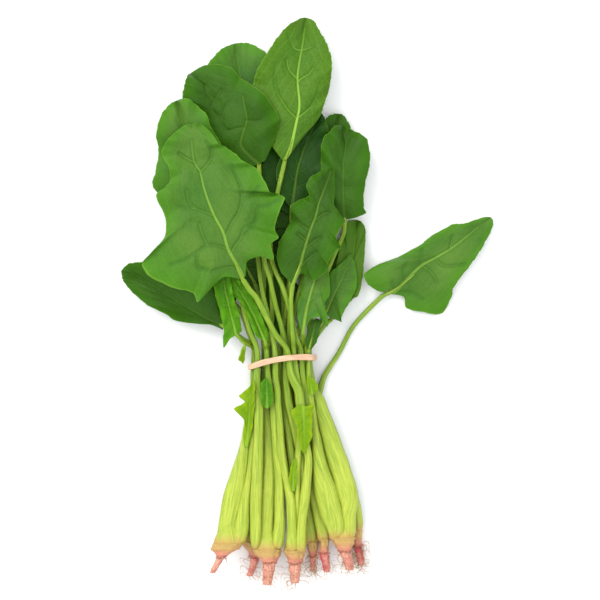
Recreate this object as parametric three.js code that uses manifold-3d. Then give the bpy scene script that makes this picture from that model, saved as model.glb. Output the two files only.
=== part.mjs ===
// A tied bunch of spinach plants lying on a surface, seen from above in the plan outlines below.
// Millimetres, +Z up, +Y from the roots to the leaf tips. The origin is under the middle of the bunch.
import * as THREE from "three";
import { mergeVertices } from "three/addons/utils/BufferGeometryUtils.js";
import Module from "manifold-3d";

const wasm = await Module();
wasm.setup();

// Driving dimensions
const BUNCH_LENGTH = 327; // lowest root to highest leaf tip
const BLADE_THICKNESS = 0.9;
const STALK_RADIUS = 1.85;
const REAR_FOOT = 2.4; // half width of a hidden stalk near its crown
const GAP = 0.45; // air left between neighbours
const BAND_WIDTH = 3.4;
const BAND_THICKNESS = 1.1;
const FRONT_CROWN_HEIGHT = 14.5; // crown axis above the surface, plants on top
const REAR_CROWN_HEIGHT = 4.3; // crown axis above the surface, plants underneath
const CROWN_HALF_HEIGHT = 5.6;
const BETWEEN_CROWN_HEIGHT = 9.3; // crown axis of the small plant caught between both layers

// The plan is drawn in picture pixels: x to the right, y towards the roots.
const PICTURE_LENGTH = 573; // bunch length in those pixels
const PICTURE_CENTRE = [307, 300.75];
const PIXEL = BUNCH_LENGTH / PICTURE_LENGTH;
const CROWN_LENGTH = 9; // pink part of a crown, between the green sheath and the root
const STALK_LEVELS = [545, 533, 515, 495, 470, 445, 420, 397, 374];
const BAND_TOP_Y = 350;
const BAND_LOW_Y = 374;
const SPREAD_Y = 535; // from here down the stalks stay where their crown is

// How steeply a leaf may climb where it is lifted over another one
const LIFT_SLOPE = 0.55;
const MAP_CELL = 1;
const MAP_HALF_WIDTH = 130;
const MAP_HALF_LENGTH = 180;

const TONES = {
  dark: { color: 0x2f6414, roughness: 0.55 },
  leaf: { color: 0x427d26, roughness: 0.5 },
  light: { color: 0x6a9a30, roughness: 0.55 },
  stalk: { color: 0xb7d64f, roughness: 0.4 },
  root: { color: 0xe2906c, roughness: 0.6 },
  band: { color: 0xf1c9a3, roughness: 0.45 },
};

// Each plant: crown middle, half width and lower end in the plan, height of its axis, and its root.
const PLANTS = [
  { x: 228, half: 15.5, bottom: 555, height: FRONT_CROWN_HEIGHT, root: "221,556 216,566 212,574", thick: 2.1 },
  { x: 250, half: 8, bottom: 555, height: REAR_CROWN_HEIGHT, root: "254,557 253,567 249,579", thick: 2.2 },
  { x: 267, half: 15, bottom: 561, height: FRONT_CROWN_HEIGHT, root: "269,562 268,574 267,586", thick: 3.2 },
  { x: 294.5, half: 11.5, bottom: 562, height: FRONT_CROWN_HEIGHT, root: "295,562 295,574 295,584", thick: 3.1 },
  { x: 312.5, half: 6.5, bottom: 555, height: REAR_CROWN_HEIGHT, root: "313,557 313,566 312,574", thick: 1.6 },
  { x: 325, half: 5.2, bottom: 551, height: BETWEEN_CROWN_HEIGHT, root: "324,553 326,564 327,574", thick: 2.3 },
  { x: 343.5, half: 12.2, bottom: 549, height: FRONT_CROWN_HEIGHT, root: "345,550 348,561 350,571", thick: 2.9 },
  { x: 357, half: 6.5, bottom: 543, height: REAR_CROWN_HEIGHT, root: "358,546 360,557 361.5,568", thick: 2.2 },
];

// A plain spinach leaf for the under side: distance along the rib, half width, both over its length.
const PLAIN_LEAF = [
  [-0.012, 0.02],
  [-0.01, 0.17],
  [-0.09, 0.34],
  [0.1, 0.33],
  [0.28, 0.29],
  [0.48, 0.31],
  [0.68, 0.25],
  [0.86, 0.13],
];

// Leaves from the bottom of the pile to its top. slot: where the stalk passes the band (x in pixels,
// height in mm). track: the stalk from its crown to the band as "x,y,half width" in pixels; a stalk that
// is out of sight has only the x where it meets its crown. heights: base, middle and tip of the rib.
// fold and wave: edge lift and ripple in mm.
const LEAVES = [
  { name: "leaf_under_middle", plant: 5, crown: 307, slot: [284, 3.2], via: "284,320 282,290",
    base: [281, 262], tip: [296, 128], width: 0.85, heights: [3, 1.2, 1], wave: 0.8 },
  { name: "leaf_under_left", plant: 2, crown: 252, slot: [269, 3.2], via: "266,325 261,300",
    base: [254, 282], tip: [196, 176], width: 0.8, heights: [3, 1.2, 1], wave: 0.8 },
  { name: "leaf_under_right", plant: 5, crown: 311, slot: [293, 3.2], via: "300,325 308,308",
    base: [314, 298], tip: [352, 236], width: 0.75, heights: [3, 1.5, 1], wave: 0.6 },
  { name: "leaf_right_back", plant: 8, slot: [309.5, 9.4], via: "316,337 325,325",
    track: "358.6,540,3.2 358.8,527.6,3.6 357.5,514.8,3.8 355,502,3.8 349,485,3.8 341,465,3.8 "
      + "330,445,3.8 322,420,3.6 316,397,3.4 311,374,3.2",
    rib: "332,319 345,285 354,252 357,219", power: 1,
    left: "329,317 330,300 333,280 337,262 340,247 343,236 345,227 349,220 353,219 357,219",
    right: "335,320 346,308 353,299 359,295 363,278 365,254 366,238 366,228 362,221 357,219",
    heights: [4, 8, 2], fold: 1, wave: 1.2, tone: "dark" },
  { name: "leaf_under_low_left", plant: 2, crown: 245, slot: [256, 7.2], via: "249,335 241,313",
    base: [232.5, 302], tip: [158, 284], width: 0.56, heights: [4, 2, 1], wave: 0.6 },
  { name: "leaf_under_high_right", plant: 6, crown: 322, slot: [295.5, 7.2], via: "300,320 302,280",
    base: [306, 248], tip: [349, 142], width: 0.62, heights: [5, 3, 2], wave: 0.8 },
  { name: "leaf_under_high_left", plant: 2, crown: 249, slot: [263.5, 7.3], via: "262,320 264,275",
    base: [262, 238], tip: [226, 74], width: 0.62, heights: [5, 3, 1.5], wave: 0.8 },
  { name: "leaf_under_top", plant: 3, slot: [268, 11.4], via: "272,320 271,275",
    track: "265.4,546,6.1 267.3,514.8,6.1 268.2,489,5.7 269,463.8,5.6 268.9,442,5.1 "
      + "266.5,413,3.2 267,390,3 268,374,3",
    base: [268, 226], tip: [270, 60], width: 0.66, heights: [7, 5, 2], wave: 0.8 },
  { name: "leaf_middle_dark", plant: 5, crown: 308, slot: [279.7, 7.3], via: "286,310 291,260",
    rib: "293,215 294,195 294,155 292,128", power: 1.1,
    left: "290,215 276,205 266,190 262,170 266,152 274,139 283,131 292,128",
    right: "296,215 308,203 315,186 316,168 312,150 305,138 299,131 292,128",
    heights: [8, 7, 4], fold: 1.5, wave: 1, tone: "dark" },
  { name: "leaf_right_high_back", plant: 5, crown: 312, slot: [287.6, 7.3], via: "295,310 308,260 318,210",
    rib: "322,172 332,140 339,112", power: 1,
    left: "320,172 316,155 319,138 323,124 327,116 332,113 336,112 339,112",
    right: "325,172 338,165 349,152 353,138 351,126 347,118 343,113 339,112",
    heights: [9, 8, 4], fold: 1, wave: 0.8, tone: "dark" },
  { name: "leaf_dark_behind", plant: 4, slot: [288, 11.7], via: "290,310 291,260",
    track: "294,547,4 294,515,3.4 294,495,3.3 293,470,3.3 290,445,3.2 286.5,420,3.2 "
      + "284.5,397,3.2 286,374,3.2",
    rib: "292,206 297,171 303,150 312,130 322,112", power: 1,
    left: "289,206 279,190 276,170 284,150 294,134 303,122 311,115 317,112 322,112",
    right: "295,205 308,196 322,182 330,165 332,148 330,134 327,124 325,117 322,112",
    heights: [10, 13, 5], fold: 2, wave: 1.3, tone: "dark" },
  { name: "leaf_top_left_back", plant: 4, slot: [275, 19.3],
    track: "292,550,5 292,527.6,4.1 291.5,515,4.2 290.5,500,4 286,476.5,3.3 281.5,451,3.3 "
      + "280,425.5,2.9 278,400,2.8 277.5,390,2.9 275.5,374,3",
    via: "269,320 262,290 257,250 252,200",
    rib: "250,152 246,110 240,75 234,41", power: 1,
    left: "247,153 228,140 214,120 206,98 202,80 207,64 216,53 222,47 229,43 234,41",
    right: "253,151 266,138 278,118 284,96 283,76 276,62 262,49 250,42 241,41 234,41",
    heights: [10, 14, 4], fold: -2, wave: 1.5, tone: "leaf" },
  { name: "leaf_right_low", plant: 6, crown: 325, slot: [303.6, 7.1], via: "310,338",
    rib: "322,322 333,298 345,272 352,253", power: 1,
    left: "320,320 321,305 324,290 330,273 338,266 345,259 349,255 352,253",
    right: "325,322 328,316 341,322 342,316 351,300 357,286 356,268 352,253",
    heights: [8, 9, 6], fold: 1, wave: 1, tone: "dark" },
  { name: "leaf_right", plant: 7,
    slot: [306.5, 14.2], via: "309,336 311,320 320,290 334,255 343,235",
    track: "350.2,540,5 349.5,527.6,5.4 349,515,6 349,502,7.5 346,489.3,8.3 342.5,476.5,8 "
      + "338.4,463.8,8.3 334,451,7.6 330.4,438.3,7.3 326.3,425.5,6.4 322.1,412.8,5.4 "
      + "319.3,400,4.2 313.6,390,3.5 309,374,3.2",
    rib: "345,218 343,190 343,164 346,145 343,124", power: 1,
    left: "341,217 333,209 326,196 321,182 321,169 321,160 321,147 324,137 330,131 334,126 337,125"
      + " 340,124 343,124",
    right: "348,219 357,217 366,213 364,207 364,194 366,181 370,163 370,152 367,139 360,133 354,130"
      + " 348,127 343,124",
    heights: [12, 18, 6], fold: -3, wave: 1.8, tone: "leaf" },
  { name: "leaf_top_light", plant: 7, slot: [301, 16.4],
    track: "337.5,540,6 336.2,527.6,8 332,514.8,9.6 328.5,502,9.2 325.3,489.3,8.6 "
      + "322.1,476.5,7.3 319.6,463.8,6 317.7,451,4.8 316.4,438.3,3.9 314.5,430,3.6 "
      + "309,410,3.3 305.2,390,3.2 302.5,374,3.2",
    via: "297,339 291,314 283,288 272,261 271,228 277,195",
    rib: "285,160 292,142 299,118 300,104 298,78 300,54 306,15", power: 1.1,
    left: "283,161 274,149 262,130 255,108 252,92 254,80 258,69 267,54 276,39 287,26 300,17 306,15",
    right: "287,159 300,141 319,118 325,102 329,90 331,78 332,67 331,56 326,42 320,31 314,19 306,15",
    heights: [14, 22, 5], fold: -3, wave: 1.8, tone: "light" },
  { name: "leaf_top_round", plant: 4, slot: [285.5, 15.3],
    track: "299,547,4 300,533,3.6 301,515,3.4 302,495,3.2 302,476.5,3.2 300.8,457.4,3.2 "
      + "296.6,438,3 292.5,419,3.3 288.3,400,3.5 285.6,374,3.2",
    via: "283,333 276,307 270,280 264,258 261,215",
    rib: "259,164 252,145 244,125 228,105 210,86 190,72", power: 1.2,
    left: "255,166 242,163 228,155 212,140 200,125 190,112 183,100 184,90 185,83 187,77 188,74 190,72",
    right: "265,161 272,146 277,131 279,119 275,110 265,96 252,86 240,78 232,69 220,65 203,65 190,72",
    heights: [17, 24, 9], fold: -4, wave: 2, tone: "leaf" },
  { name: "leaf_left", plant: 3,
    slot: [257, 18.5], via: "248,325 242,303 236,275 226,243",
    track: "255.2,546.7,3.5 255.5,527.6,4.5 255.8,502,4.8 257,476.5,4.8 258.3,451,4.1 "
      + "259,425.5,3.7 259,400,3.8 258,390,3.5 257,374,3.3",
    rib: "214,214 205,185 195,158 185,132 178,101", power: 1,
    left: "211,216 190,214 170,203 153,187 156,172 159,152 157,135 162,117 168,108 173,104 178,101",
    right: "217,212 226,196 229,176 226,156 219,140 211,127 208,117 199,108 190,101 184,100 178,101",
    heights: [20, 26, 9], fold: -4, wave: 2, tone: "leaf" },
  { name: "leaf_low_left", plant: 1, slot: [256.8, 11], via: "241,338 231,330",
    track: "224.3,546.7,6.5 227.4,527.6,7.6 231.9,502,7.6 238,476.5,6.7 243.8,451,4.6 "
      + "247,430,3.6 250,410,3.2 253,390,3.2 256,374,3.2",
    rib: "223,326 207,319 186,307 160,291 139,277 119,271", power: 1.2,
    left: "223,330 211,325 197,324 176,321 165,314 148,306 139,299 130,291 124,284 121,279 120,275"
      + " 119,271",
    right: "226,321 220,312 214,292 205,276 190,266 172,259 157,257 145,261 137,262 128,263 122,267"
      + " 119,271",
    heights: [11, 9, 1.5], fold: 3.5, wave: 1.4, tone: "light" },
  { name: "leaf_band_right", plant: 7, crown: 334, foot: 2.6,
    slot: [308.6, 17.4], via: "308,354", thin: 1.3,
    rib: "309,349 312,338 316,318", power: 1,
    left: "307,349 305,343 306,336 309,328 312,321 316,318",
    right: "311,350 316,343 319,335 320,328 322,321 316,318",
    heights: [18, 18, 16], fold: 1, wave: 0.6, tone: "dark" },
  { name: "leaf_right_toothed", plant: 7, slot: [303, 11.4], via: "303,342",
    track: "342,538,3 340,502,2.6 333.3,476.5,3.2 327,457,2.8 320,435,2.7 314,412,2.7 "
      + "308,392,2.9 304,374,3.1",
    rib: "303,332 306,312 311,292 318,270 322,250", power: 0.7,
    left: "301,331 298,320 297,311 298,302 301,295 302,284 304,275 306,264 310,256 316,251 322,250",
    right: "305,331 307,325 311,319 320,317 327,327 328,319 325,303 330,293 329,275 328,260 322,250",
    heights: [14, 17, 11], fold: 1, wave: 1.4, tone: "leaf" },
  { name: "leaf_right_front", plant: 4, slot: [293.6, 18.6], via: "293,338 292,328 291,300",
    track: "297,547,3 298,533,2.4 298.9,521,2.4 298,508,2.4 297.6,489,2.6 297.5,470,2.8 "
      + "299,445,2.8 300,420,2.8 300,397,3 296,374,3.2",
    rib: "293,284 296,276 301,263 304,247 309,231 315,221 322,195 331,167", power: 0.8,
    left: "291,283 281,272 277,258 279,243 286,231 291,220 290,209 296,202 303,199 309,196"
      + " 306,186 311,177 318,174 322,170 326,168 331,167",
    right: "296,283 300,274 308,275 314,281 328,270 327,264 337,250 341,249 336,237 343,225"
      + " 345,221 339,213 334,205 335,189 334,171 331,167",
    heights: [19, 28, 14], fold: -3, wave: 2.2, tone: "leaf" },
  { name: "leaf_crinkled", plant: 3, slot: [266.5, 17.2], via: "266,346",
    track: "276.5,546.7,5 279.4,527.6,4.8 279.4,502,4.2 279,476.5,3.8 276,451,2.9 274,425.5,2.7 "
      + "272.5,400,2.7 268,374,2.9",
    rib: "265,341 256,320 244,297 227,270", power: 1,
    left: "263,341 256,336 251,325 246,312 242,303 234,297 228,290 224,281 227,270",
    right: "268,341 268,332 264,322 258,308 252,297 246,289 240,281 234,274 227,270",
    heights: [18, 19, 17], fold: 1, wave: 1.5, tone: "light" },
  { name: "leaf_yellow", plant: 1,
    slot: [252.8, 13.6], via: "250,346 243,342", thin: 1.2,
    track: "237,544,5 241.5,527.6,6 244.9,502,4.5 249.1,476.5,3 252,451,2.6 253,420,2.4 "
      + "253,400,2.4 252.8,374,2.4",
    rib: "236,334 231,315 226,292 222,262", power: 1.3,
    left: "235,336 230,339 224,348 223,338 224,329 220,311 215,293 214,280 217,270 222,262",
    right: "238,334 242,331 241,324 240,317 239,312 235,301 233,292 231,280 228,269 222,262",
    heights: [18, 18, 17], fold: -1, wave: 1.2, tone: "light" },
  { name: "leaf_front_large", plant: 4, slot: [287, 20.8],
    track: "300.5,550,4.6 302,521,4 304.6,502,4 306.5,483,3.8 308.4,463.8,3.2 307.8,453.6,3.2 "
      + "305,440,3.3 303,420,3.5 300,403,3.8 298.3,390,3.9 291,374,3.8",
    via: "275,333 258,300 250,290", thick: 2.2,
    rib: "243,279 232,255 223,234 214,212 206,188 195,166 192,148 193,125", power: 0.8,
    left: "239,279 225,277 215,285 204,297 198,302 194,293 175,288 153,278 143,265 153,253 166,238"
      + " 167,220 158,197 167,188 172,180 170,168 164,158 164,150 170,141 177,133 186,127 193,125",
    right: "246,276 247,263 252,259 261,257 274,260 271,245 279,238 275,230 279,214 285,200"
      + " 279,195 270,193 265,182 256,169 244,163 237,156 227,149 219,145 214,137 204,127 198,125 193,125",
    heights: [27, 37, 22], fold: -5, wave: 2.6, tone: "leaf" },
  { name: "leaf_outlying", plant: 5, crown: 316, slot: [309, 2.2], loose: true,
    via: "311,432 315,410 320,392 324,378 331,366 340,352 355,325 382,297",
    rib: "391,292 397,290 409,279 431,261 451,247 468,237 493,216", power: 0.8,
    left: "389,290 381,292 369,285 364,274 379,264 398,257 422,244 430,237 453,224 465,223 477,219"
      + " 487,216 493,216",
    right: "392,294 405,297 407,308 422,312 443,314 453,297 455,287 470,267 478,256 486,243 494,228"
      + " 495,220 493,216",
    heights: [3, 7.5, 0.5], fold: -6, wave: 1.6, tone: "light" },
  { name: "leaf_small_toothed", plant: 1, rib: "246,447 249,420 250,400 253,378", power: 1,
    left: "244,447 243,433 244,420 234,409 245,402 239,396 249,387 253,378",
    right: "248,447 251,436 253,424 254,412 255,402 255,392 255,384 253,378",
    heights: [14, 14, 14], fold: 0.5, wave: 0.5, tone: "dark" },
  { name: "leaf_small_hanging", plant: 1, rib: "245,346 244,355 243,364", power: 1,
    right: "243,346 241,350 240,355 238,360 241,362 243,364",
    left: "246,346 246,350 245,355 245,359 244,362 243,364",
    heights: [12, 11, 10], fold: 0.3, wave: 0.3, tone: "leaf" },
  { name: "leaf_small_between", plant: 3, rib: "267,408 267,390 266,378", power: 1,
    left: "265,408 261,401 260,392 261,383 266,377",
    right: "269,408 273,401 273,392 271,383 266,377",
    heights: [19, 19, 19], fold: 0.5, wave: 0.3, tone: "dark" },
  { name: "leaf_small_olive", plant: 7, rib: "312,395 311,386 309,377", power: 1,
    left: "310,395 308,390 307,385 307,380 309,376",
    right: "314,394 318,390 318,386 315,380 309,376",
    heights: [17, 17, 17], fold: 0.5, wave: 0.3, tone: "light" },
  { name: "leaf_small_narrow", plant: 4, rib: "293,491 293,475 295,457", power: 1,
    left: "291,491 289,480 290,469 292,462 295,457",
    right: "295,491 297,479 297,470 297,463 295,457",
    heights: [18, 18, 18], fold: 0.5, wave: 0.3, tone: "dark" },
  { name: "leaf_small_front", plant: 4, rib: "303,405 304,425 304,454", power: 1,
    right: "300,404 291,411 295,422 297,429 299,443 301,449 304,454",
    left: "306,406 314,404 313,409 312,422 312,436 308,446 304,454",
    heights: [20, 20, 19], fold: -0.5, wave: 0.6, tone: "leaf" },
];

// A list of plan points from a text of "x,y x,y" pixel pairs, in millimetres.
function plan(text) {
  return text.split(" ").map((pair) => {
    const [x, y] = pair.split(",").map(Number);
    return new THREE.Vector2(planX(x), planY(y));
  });
}

function planX(x) {
  return (x - PICTURE_CENTRE[0]) * PIXEL;
}

function planY(y) {
  return (PICTURE_CENTRE[1] - y) * PIXEL;
}

// The point at a fraction of the length of a plan line.
function along(points, fraction) {
  const lengths = points.slice(1).map((p, i) => p.distanceTo(points[i]));
  let rest = fraction * lengths.reduce((sum, length) => sum + length, 0);
  let i = 0;
  while (i < lengths.length - 1 && rest > lengths[i]) rest -= lengths[i++];
  return points[i].clone().lerp(points[i + 1], Math.min(1, rest / lengths[i]));
}

// How far a stalk still is from its place at the band (0) on its way to the crown (1).
function spread(y) {
  const way = THREE.MathUtils.clamp((y - BAND_LOW_Y) / (SPREAD_Y - BAND_LOW_Y), 0, 1);
  return way ** 1.35;
}

// The height of the pile so far, on a grid of small cells.
const columns = (2 * MAP_HALF_WIDTH) / MAP_CELL;
const rows = (2 * MAP_HALF_LENGTH) / MAP_CELL;
const pile = new Float32Array(columns * rows).fill(-GAP);

function cell(x, y) {
  const i = Math.round((x + MAP_HALF_WIDTH) / MAP_CELL);
  const j = Math.round((y + MAP_HALF_LENGTH) / MAP_CELL);
  return [i, j];
}

function pileTop(x, y) {
  const [i, j] = cell(x, y);
  return pile[j * columns + i];
}

function stamp(x, y, z, radius) {
  const [ci, cj] = cell(x, y);
  const reach = Math.ceil(radius / MAP_CELL);
  for (let dj = -reach; dj <= reach; dj++)
    for (let di = -reach; di <= reach; di++) {
      if (Math.hypot(di, dj) * MAP_CELL > radius) continue;
      const k = (cj + dj) * columns + ci + di;
      pile[k] = Math.max(pile[k], z);
    }
}

function isFront(plant) {
  return plant.height === FRONT_CROWN_HEIGHT;
}

// Where the green sheath meets the pink crown
function crownTop(plant) {
  return plant.bottom - CROWN_LENGTH;
}

// How far down a hidden stalk is full width again: 0 at the band, 1 near the crown.
function nearCrown(y) {
  return THREE.MathUtils.clamp(((y - BAND_LOW_Y) * PIXEL) / 70, 0, 1);
}

// The stalk of a leaf below the band, from its crown to its slot in the band, as [x, y, half width].
function trackOf(leaf) {
  if (leaf.track) return leaf.track.split(" ").map((text) => text.split(",").map(Number));
  const radius = leaf.thick || leaf.thin || STALK_RADIUS;
  return STALK_LEVELS.map((y) => {
    const x = leaf.slot[0] + (leaf.crown - leaf.slot[0]) * spread(y);
    const half = THREE.MathUtils.lerp(radius, leaf.foot || REAR_FOOT, nearCrown(y));
    return [x, y, half / PIXEL];
  });
}

// The same in space. Its foot ends inside the sheath of its crown.
function lowerStalk(leaf) {
  const plant = PLANTS[leaf.plant - 1];
  const slotZ = leaf.slot[1];
  const slotMiddle = isFront(plant) ? 15.5 : 5;
  const crownZ = plant.height + 0.45 * (slotZ - slotMiddle);
  const foot = crownTop(plant) - 2;
  return trackOf(leaf).map(([x, y, half]) => {
    const z = slotZ + (crownZ - slotZ) * spread(y);
    const p = new THREE.Vector3(planX(x), planY(Math.min(y, foot)), z);
    return { p, half: half * PIXEL };
  });
}

// Rows of a blade, each from the left edge over the rib to the right edge, before it is lifted.
function bladeRows(leaf) {
  const { rib, left, right } = outline(leaf);
  const count = left.length;
  if (right.length !== count) throw new Error(leaf.name + ": " + count + " and " + right.length);
  const perSide = count > 7 ? 2 : 1;
  const [low, middle, high] = leaf.heights;
  const grid = [];
  for (let i = 0; i < count - 1; i++) {
    const s = i / (count - 1);
    const way = s ** (leaf.power || 1);
    const centre = along(rib, way);
    const arch = middle * 4 * way * (1 - way);
    const rise = low * (1 - way) * (1 - 2 * way) + arch + high * way * (2 * way - 1);
    const row = [];
    for (let c = -perSide; c <= perSide; c++) {
      const t = Math.abs(c) / perSide;
      const edge = c < 0 ? left[i] : right[i];
      const p = centre.clone().lerp(edge, t);
      const fold = (leaf.fold || 0) * t ** 1.5 * Math.sin(Math.PI * Math.min(1, s * 1.6)) ** 2;
      const ripple = (leaf.wave || 0) * t * t * Math.sin(2.2 * i + (c < 0 ? 0 : 1.9)) * Math.min(1, 4 * s);
      row.push(new THREE.Vector3(p.x, p.y, Math.max(BLADE_THICKNESS / 2, rise + fold + ripple)));
    }
    grid.push(row);
  }
  const last = left[count - 1];
  grid.push([new THREE.Vector3(last.x, last.y, Math.max(BLADE_THICKNESS / 2, high))]);
  return grid;
}

function outline(leaf) {
  if (leaf.rib) return { rib: plan(leaf.rib), left: plan(leaf.left), right: plan(leaf.right) };
  const base = new THREE.Vector2(planX(leaf.base[0]), planY(leaf.base[1]));
  const tip = new THREE.Vector2(planX(leaf.tip[0]), planY(leaf.tip[1]));
  const axis = tip.clone().sub(base);
  const across = new THREE.Vector2(-axis.y, axis.x).multiplyScalar(leaf.width);
  const place = (u, v) => base.clone().addScaledVector(axis, u).addScaledVector(across, v);
  const side = (sign) => [...PLAIN_LEAF.map(([u, v]) => place(u, sign * v)), tip];
  return { rib: [base, tip], left: side(1), right: side(-1) };
}

// All the four-cornered patches of a blade. At the tip two corners are one point.
function patches(grid) {
  const list = [];
  for (let i = 0; i < grid.length - 1; i++)
    for (let c = 0; c < grid[0].length - 1; c++) {
      const next = grid[i + 1];
      const ends = next.length === 1 ? [next[0], next[0]] : [next[c], next[c + 1]];
      list.push([grid[i][c], grid[i][c + 1], ends[1], ends[0]]);
    }
  return list;
}

// Calls visit(point, corners) at closely set points of each patch.
function sweep(grid, visit) {
  for (const corners of patches(grid)) {
    const [a, b, c, d] = corners;
    const nu = Math.ceil(Math.max(a.distanceTo(b), c.distanceTo(d)) / MAP_CELL) + 1;
    const nv = Math.ceil(Math.max(a.distanceTo(d), b.distanceTo(c)) / MAP_CELL) + 1;
    for (let i = 0; i <= nu; i++)
      for (let j = 0; j <= nv; j++) {
        const near = a.clone().lerp(b, i / nu);
        const far = d.clone().lerp(c, i / nu);
        visit(near.lerp(far, j / nv), corners);
      }
  }
}

// Lifts a leaf with the upper part of its stalk until it clears the pile, then adds it to the pile.
function settle(stalk, grid, radius) {
  const needs = new Map();
  const raise = (point, amount) => needs.set(point, Math.max(needs.get(point) || 0, amount));
  for (let i = 0; i < stalk.length - 1; i++)
    for (let u = 0; u <= 1; u += 0.1) {
      const p = stalk[i].clone().lerp(stalk[i + 1], u);
      const under = Math.max(
        pileTop(p.x, p.y), pileTop(p.x - radius, p.y), pileTop(p.x + radius, p.y),
        pileTop(p.x, p.y - radius), pileTop(p.x, p.y + radius));
      const amount = under + radius + GAP - p.z;
      raise(stalk[i], amount);
      raise(stalk[i + 1], amount);
    }
  sweep(grid, (p, corners) => {
    const amount = pileTop(p.x, p.y) + BLADE_THICKNESS / 2 + GAP - p.z;
    corners.forEach((corner) => raise(corner, amount));
  });
  const points = [...needs.keys()];
  const lifts = points.map((p) =>
    points.reduce((most, q) =>
      Math.max(most, needs.get(q) - LIFT_SLOPE * Math.hypot(p.x - q.x, p.y - q.y)), 0));
  points.forEach((p, i) => {
    const fromBand = p.y - planY(BAND_TOP_Y);
    const limit = stalk.includes(p) ? Math.max(0, 0.8 * fromBand) : Infinity;
    p.z += Math.min(lifts[i], limit);
  });
}

function addToPile(stalk, grid, radius, halves) {
  for (let i = 0; i < stalk.length - 1; i++)
    for (let u = 0; u <= 1; u += 0.05) {
      const p = stalk[i].clone().lerp(stalk[i + 1], u);
      const half = halves ? THREE.MathUtils.lerp(halves[i], halves[i + 1], u) : radius;
      stamp(p.x, p.y, p.z + Math.min(half, radius), half + GAP);
    }
  sweep(grid, (p) => stamp(p.x, p.y, p.z + BLADE_THICKNESS / 2, 1.5 * MAP_CELL));
}

// A closed geometry from a list of rings with the same number of points, with flat ends.
function skin(rings) {
  const sides = rings[0].length;
  const faces = [];
  for (let i = 0; i < rings.length - 1; i++)
    for (let k = 0; k < sides; k++) {
      const [a, b] = [rings[i][k], rings[i][(k + 1) % sides]];
      const [c, d] = [rings[i + 1][(k + 1) % sides], rings[i + 1][k]];
      faces.push([a, b, c], [a, c, d]);
    }
  const last = rings[rings.length - 1];
  for (let k = 1; k < sides - 1; k++) {
    faces.push([rings[0][0], rings[0][k + 1], rings[0][k]]);
    faces.push([last[0], last[k], last[k + 1]]);
  }
  return faces;
}

// A tube along a path: half widths across and upward at each point, never below the surface.
// Its rings stand square to the path, or to one straight direction.
function tube(path, across, upward, sides, straight) {
  const rings = path.map((p, i) => {
    const before = path[Math.max(0, i - 1)];
    const after = path[Math.min(path.length - 1, i + 1)];
    const way = straight ? straight.clone() : after.clone().sub(before).normalize();
    const side = new THREE.Vector3(way.y, -way.x, 0).normalize();
    const up = side.clone().cross(way);
    return Array.from({ length: sides }, (_, k) => {
      const angle = (-2 * Math.PI * k) / sides;
      const q = p.clone();
      q.addScaledVector(side, across[i] * Math.cos(angle));
      q.addScaledVector(up, upward[i] * Math.sin(angle));
      q.z = Math.max(0, q.z);
      return q;
    });
  });
  return skin(rings);
}

// A blade as two like faces and an edge wall.
function blade(grid) {
  const faces = [];
  const half = BLADE_THICKNESS / 2;
  const lower = new Map();
  const upper = new Map();
  for (const p of grid.flat()) {
    lower.set(p, new THREE.Vector3(p.x, p.y, p.z - half));
    upper.set(p, new THREE.Vector3(p.x, p.y, p.z + half));
  }
  const both = (a, b, c) => {
    if (a === b || b === c || a === c) return;
    faces.push([upper.get(a), upper.get(b), upper.get(c)]);
    faces.push([lower.get(a), lower.get(c), lower.get(b)]);
  };
  for (const [a, b, c, d] of patches(grid)) {
    both(a, b, c);
    both(a, c, d);
  }
  const round = [...grid[0]];
  for (let i = 1; i < grid.length; i++) round.push(grid[i][grid[i].length - 1]);
  for (let i = grid.length - 2; i > 0; i--) round.push(grid[i][0]);
  round.forEach((p, i) => {
    const q = round[(i + 1) % round.length];
    faces.push([lower.get(p), lower.get(q), upper.get(q)]);
    faces.push([lower.get(p), upper.get(q), upper.get(p)]);
  });
  return faces;
}

function geometryOf(faces) {
  const numbers = faces.flat().flatMap((p) => [p.x, p.y, p.z]);
  const loose = new THREE.BufferGeometry();
  loose.setAttribute("position", new THREE.Float32BufferAttribute(numbers, 3));
  return mergeVertices(loose, 1e-4);
}

function solidOf(faces) {
  const geometry = geometryOf(faces);
  const mesh = new wasm.Mesh({
    numProp: 3,
    vertProperties: geometry.attributes.position.array,
    triVerts: new Uint32Array(geometry.index.array),
  });
  return new wasm.Manifold(mesh);
}

function fused(list) {
  const solid = list.map(solidOf).reduce((sum, next) => sum.add(next));
  const bodies = solid.decompose().sort((a, b) => b.volume() - a.volume());
  const mesh = bodies[0].getMesh();
  const geometry = new THREE.BufferGeometry();
  const positions = [];
  for (let i = 0; i < mesh.numVert; i++)
    positions.push(...mesh.vertProperties.subarray(i * mesh.numProp, i * mesh.numProp + 3));
  geometry.setAttribute("position", new THREE.Float32BufferAttribute(positions, 3));
  geometry.setIndex(new THREE.BufferAttribute(new Uint32Array(mesh.triVerts), 1));
  return geometry;
}

const TOWARDS_ROOTS = new THREE.Vector3(0, -1, 0);
const bunch = new THREE.Group();

function addPiece(name, geometry, tone) {
  const flat = geometry.toNonIndexed();
  flat.computeVertexNormals();
  const material = new THREE.MeshStandardMaterial({ ...TONES[tone], metalness: 0 });
  const mesh = new THREE.Mesh(flat, material);
  mesh.name = name;
  bunch.add(mesh);
}

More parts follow.
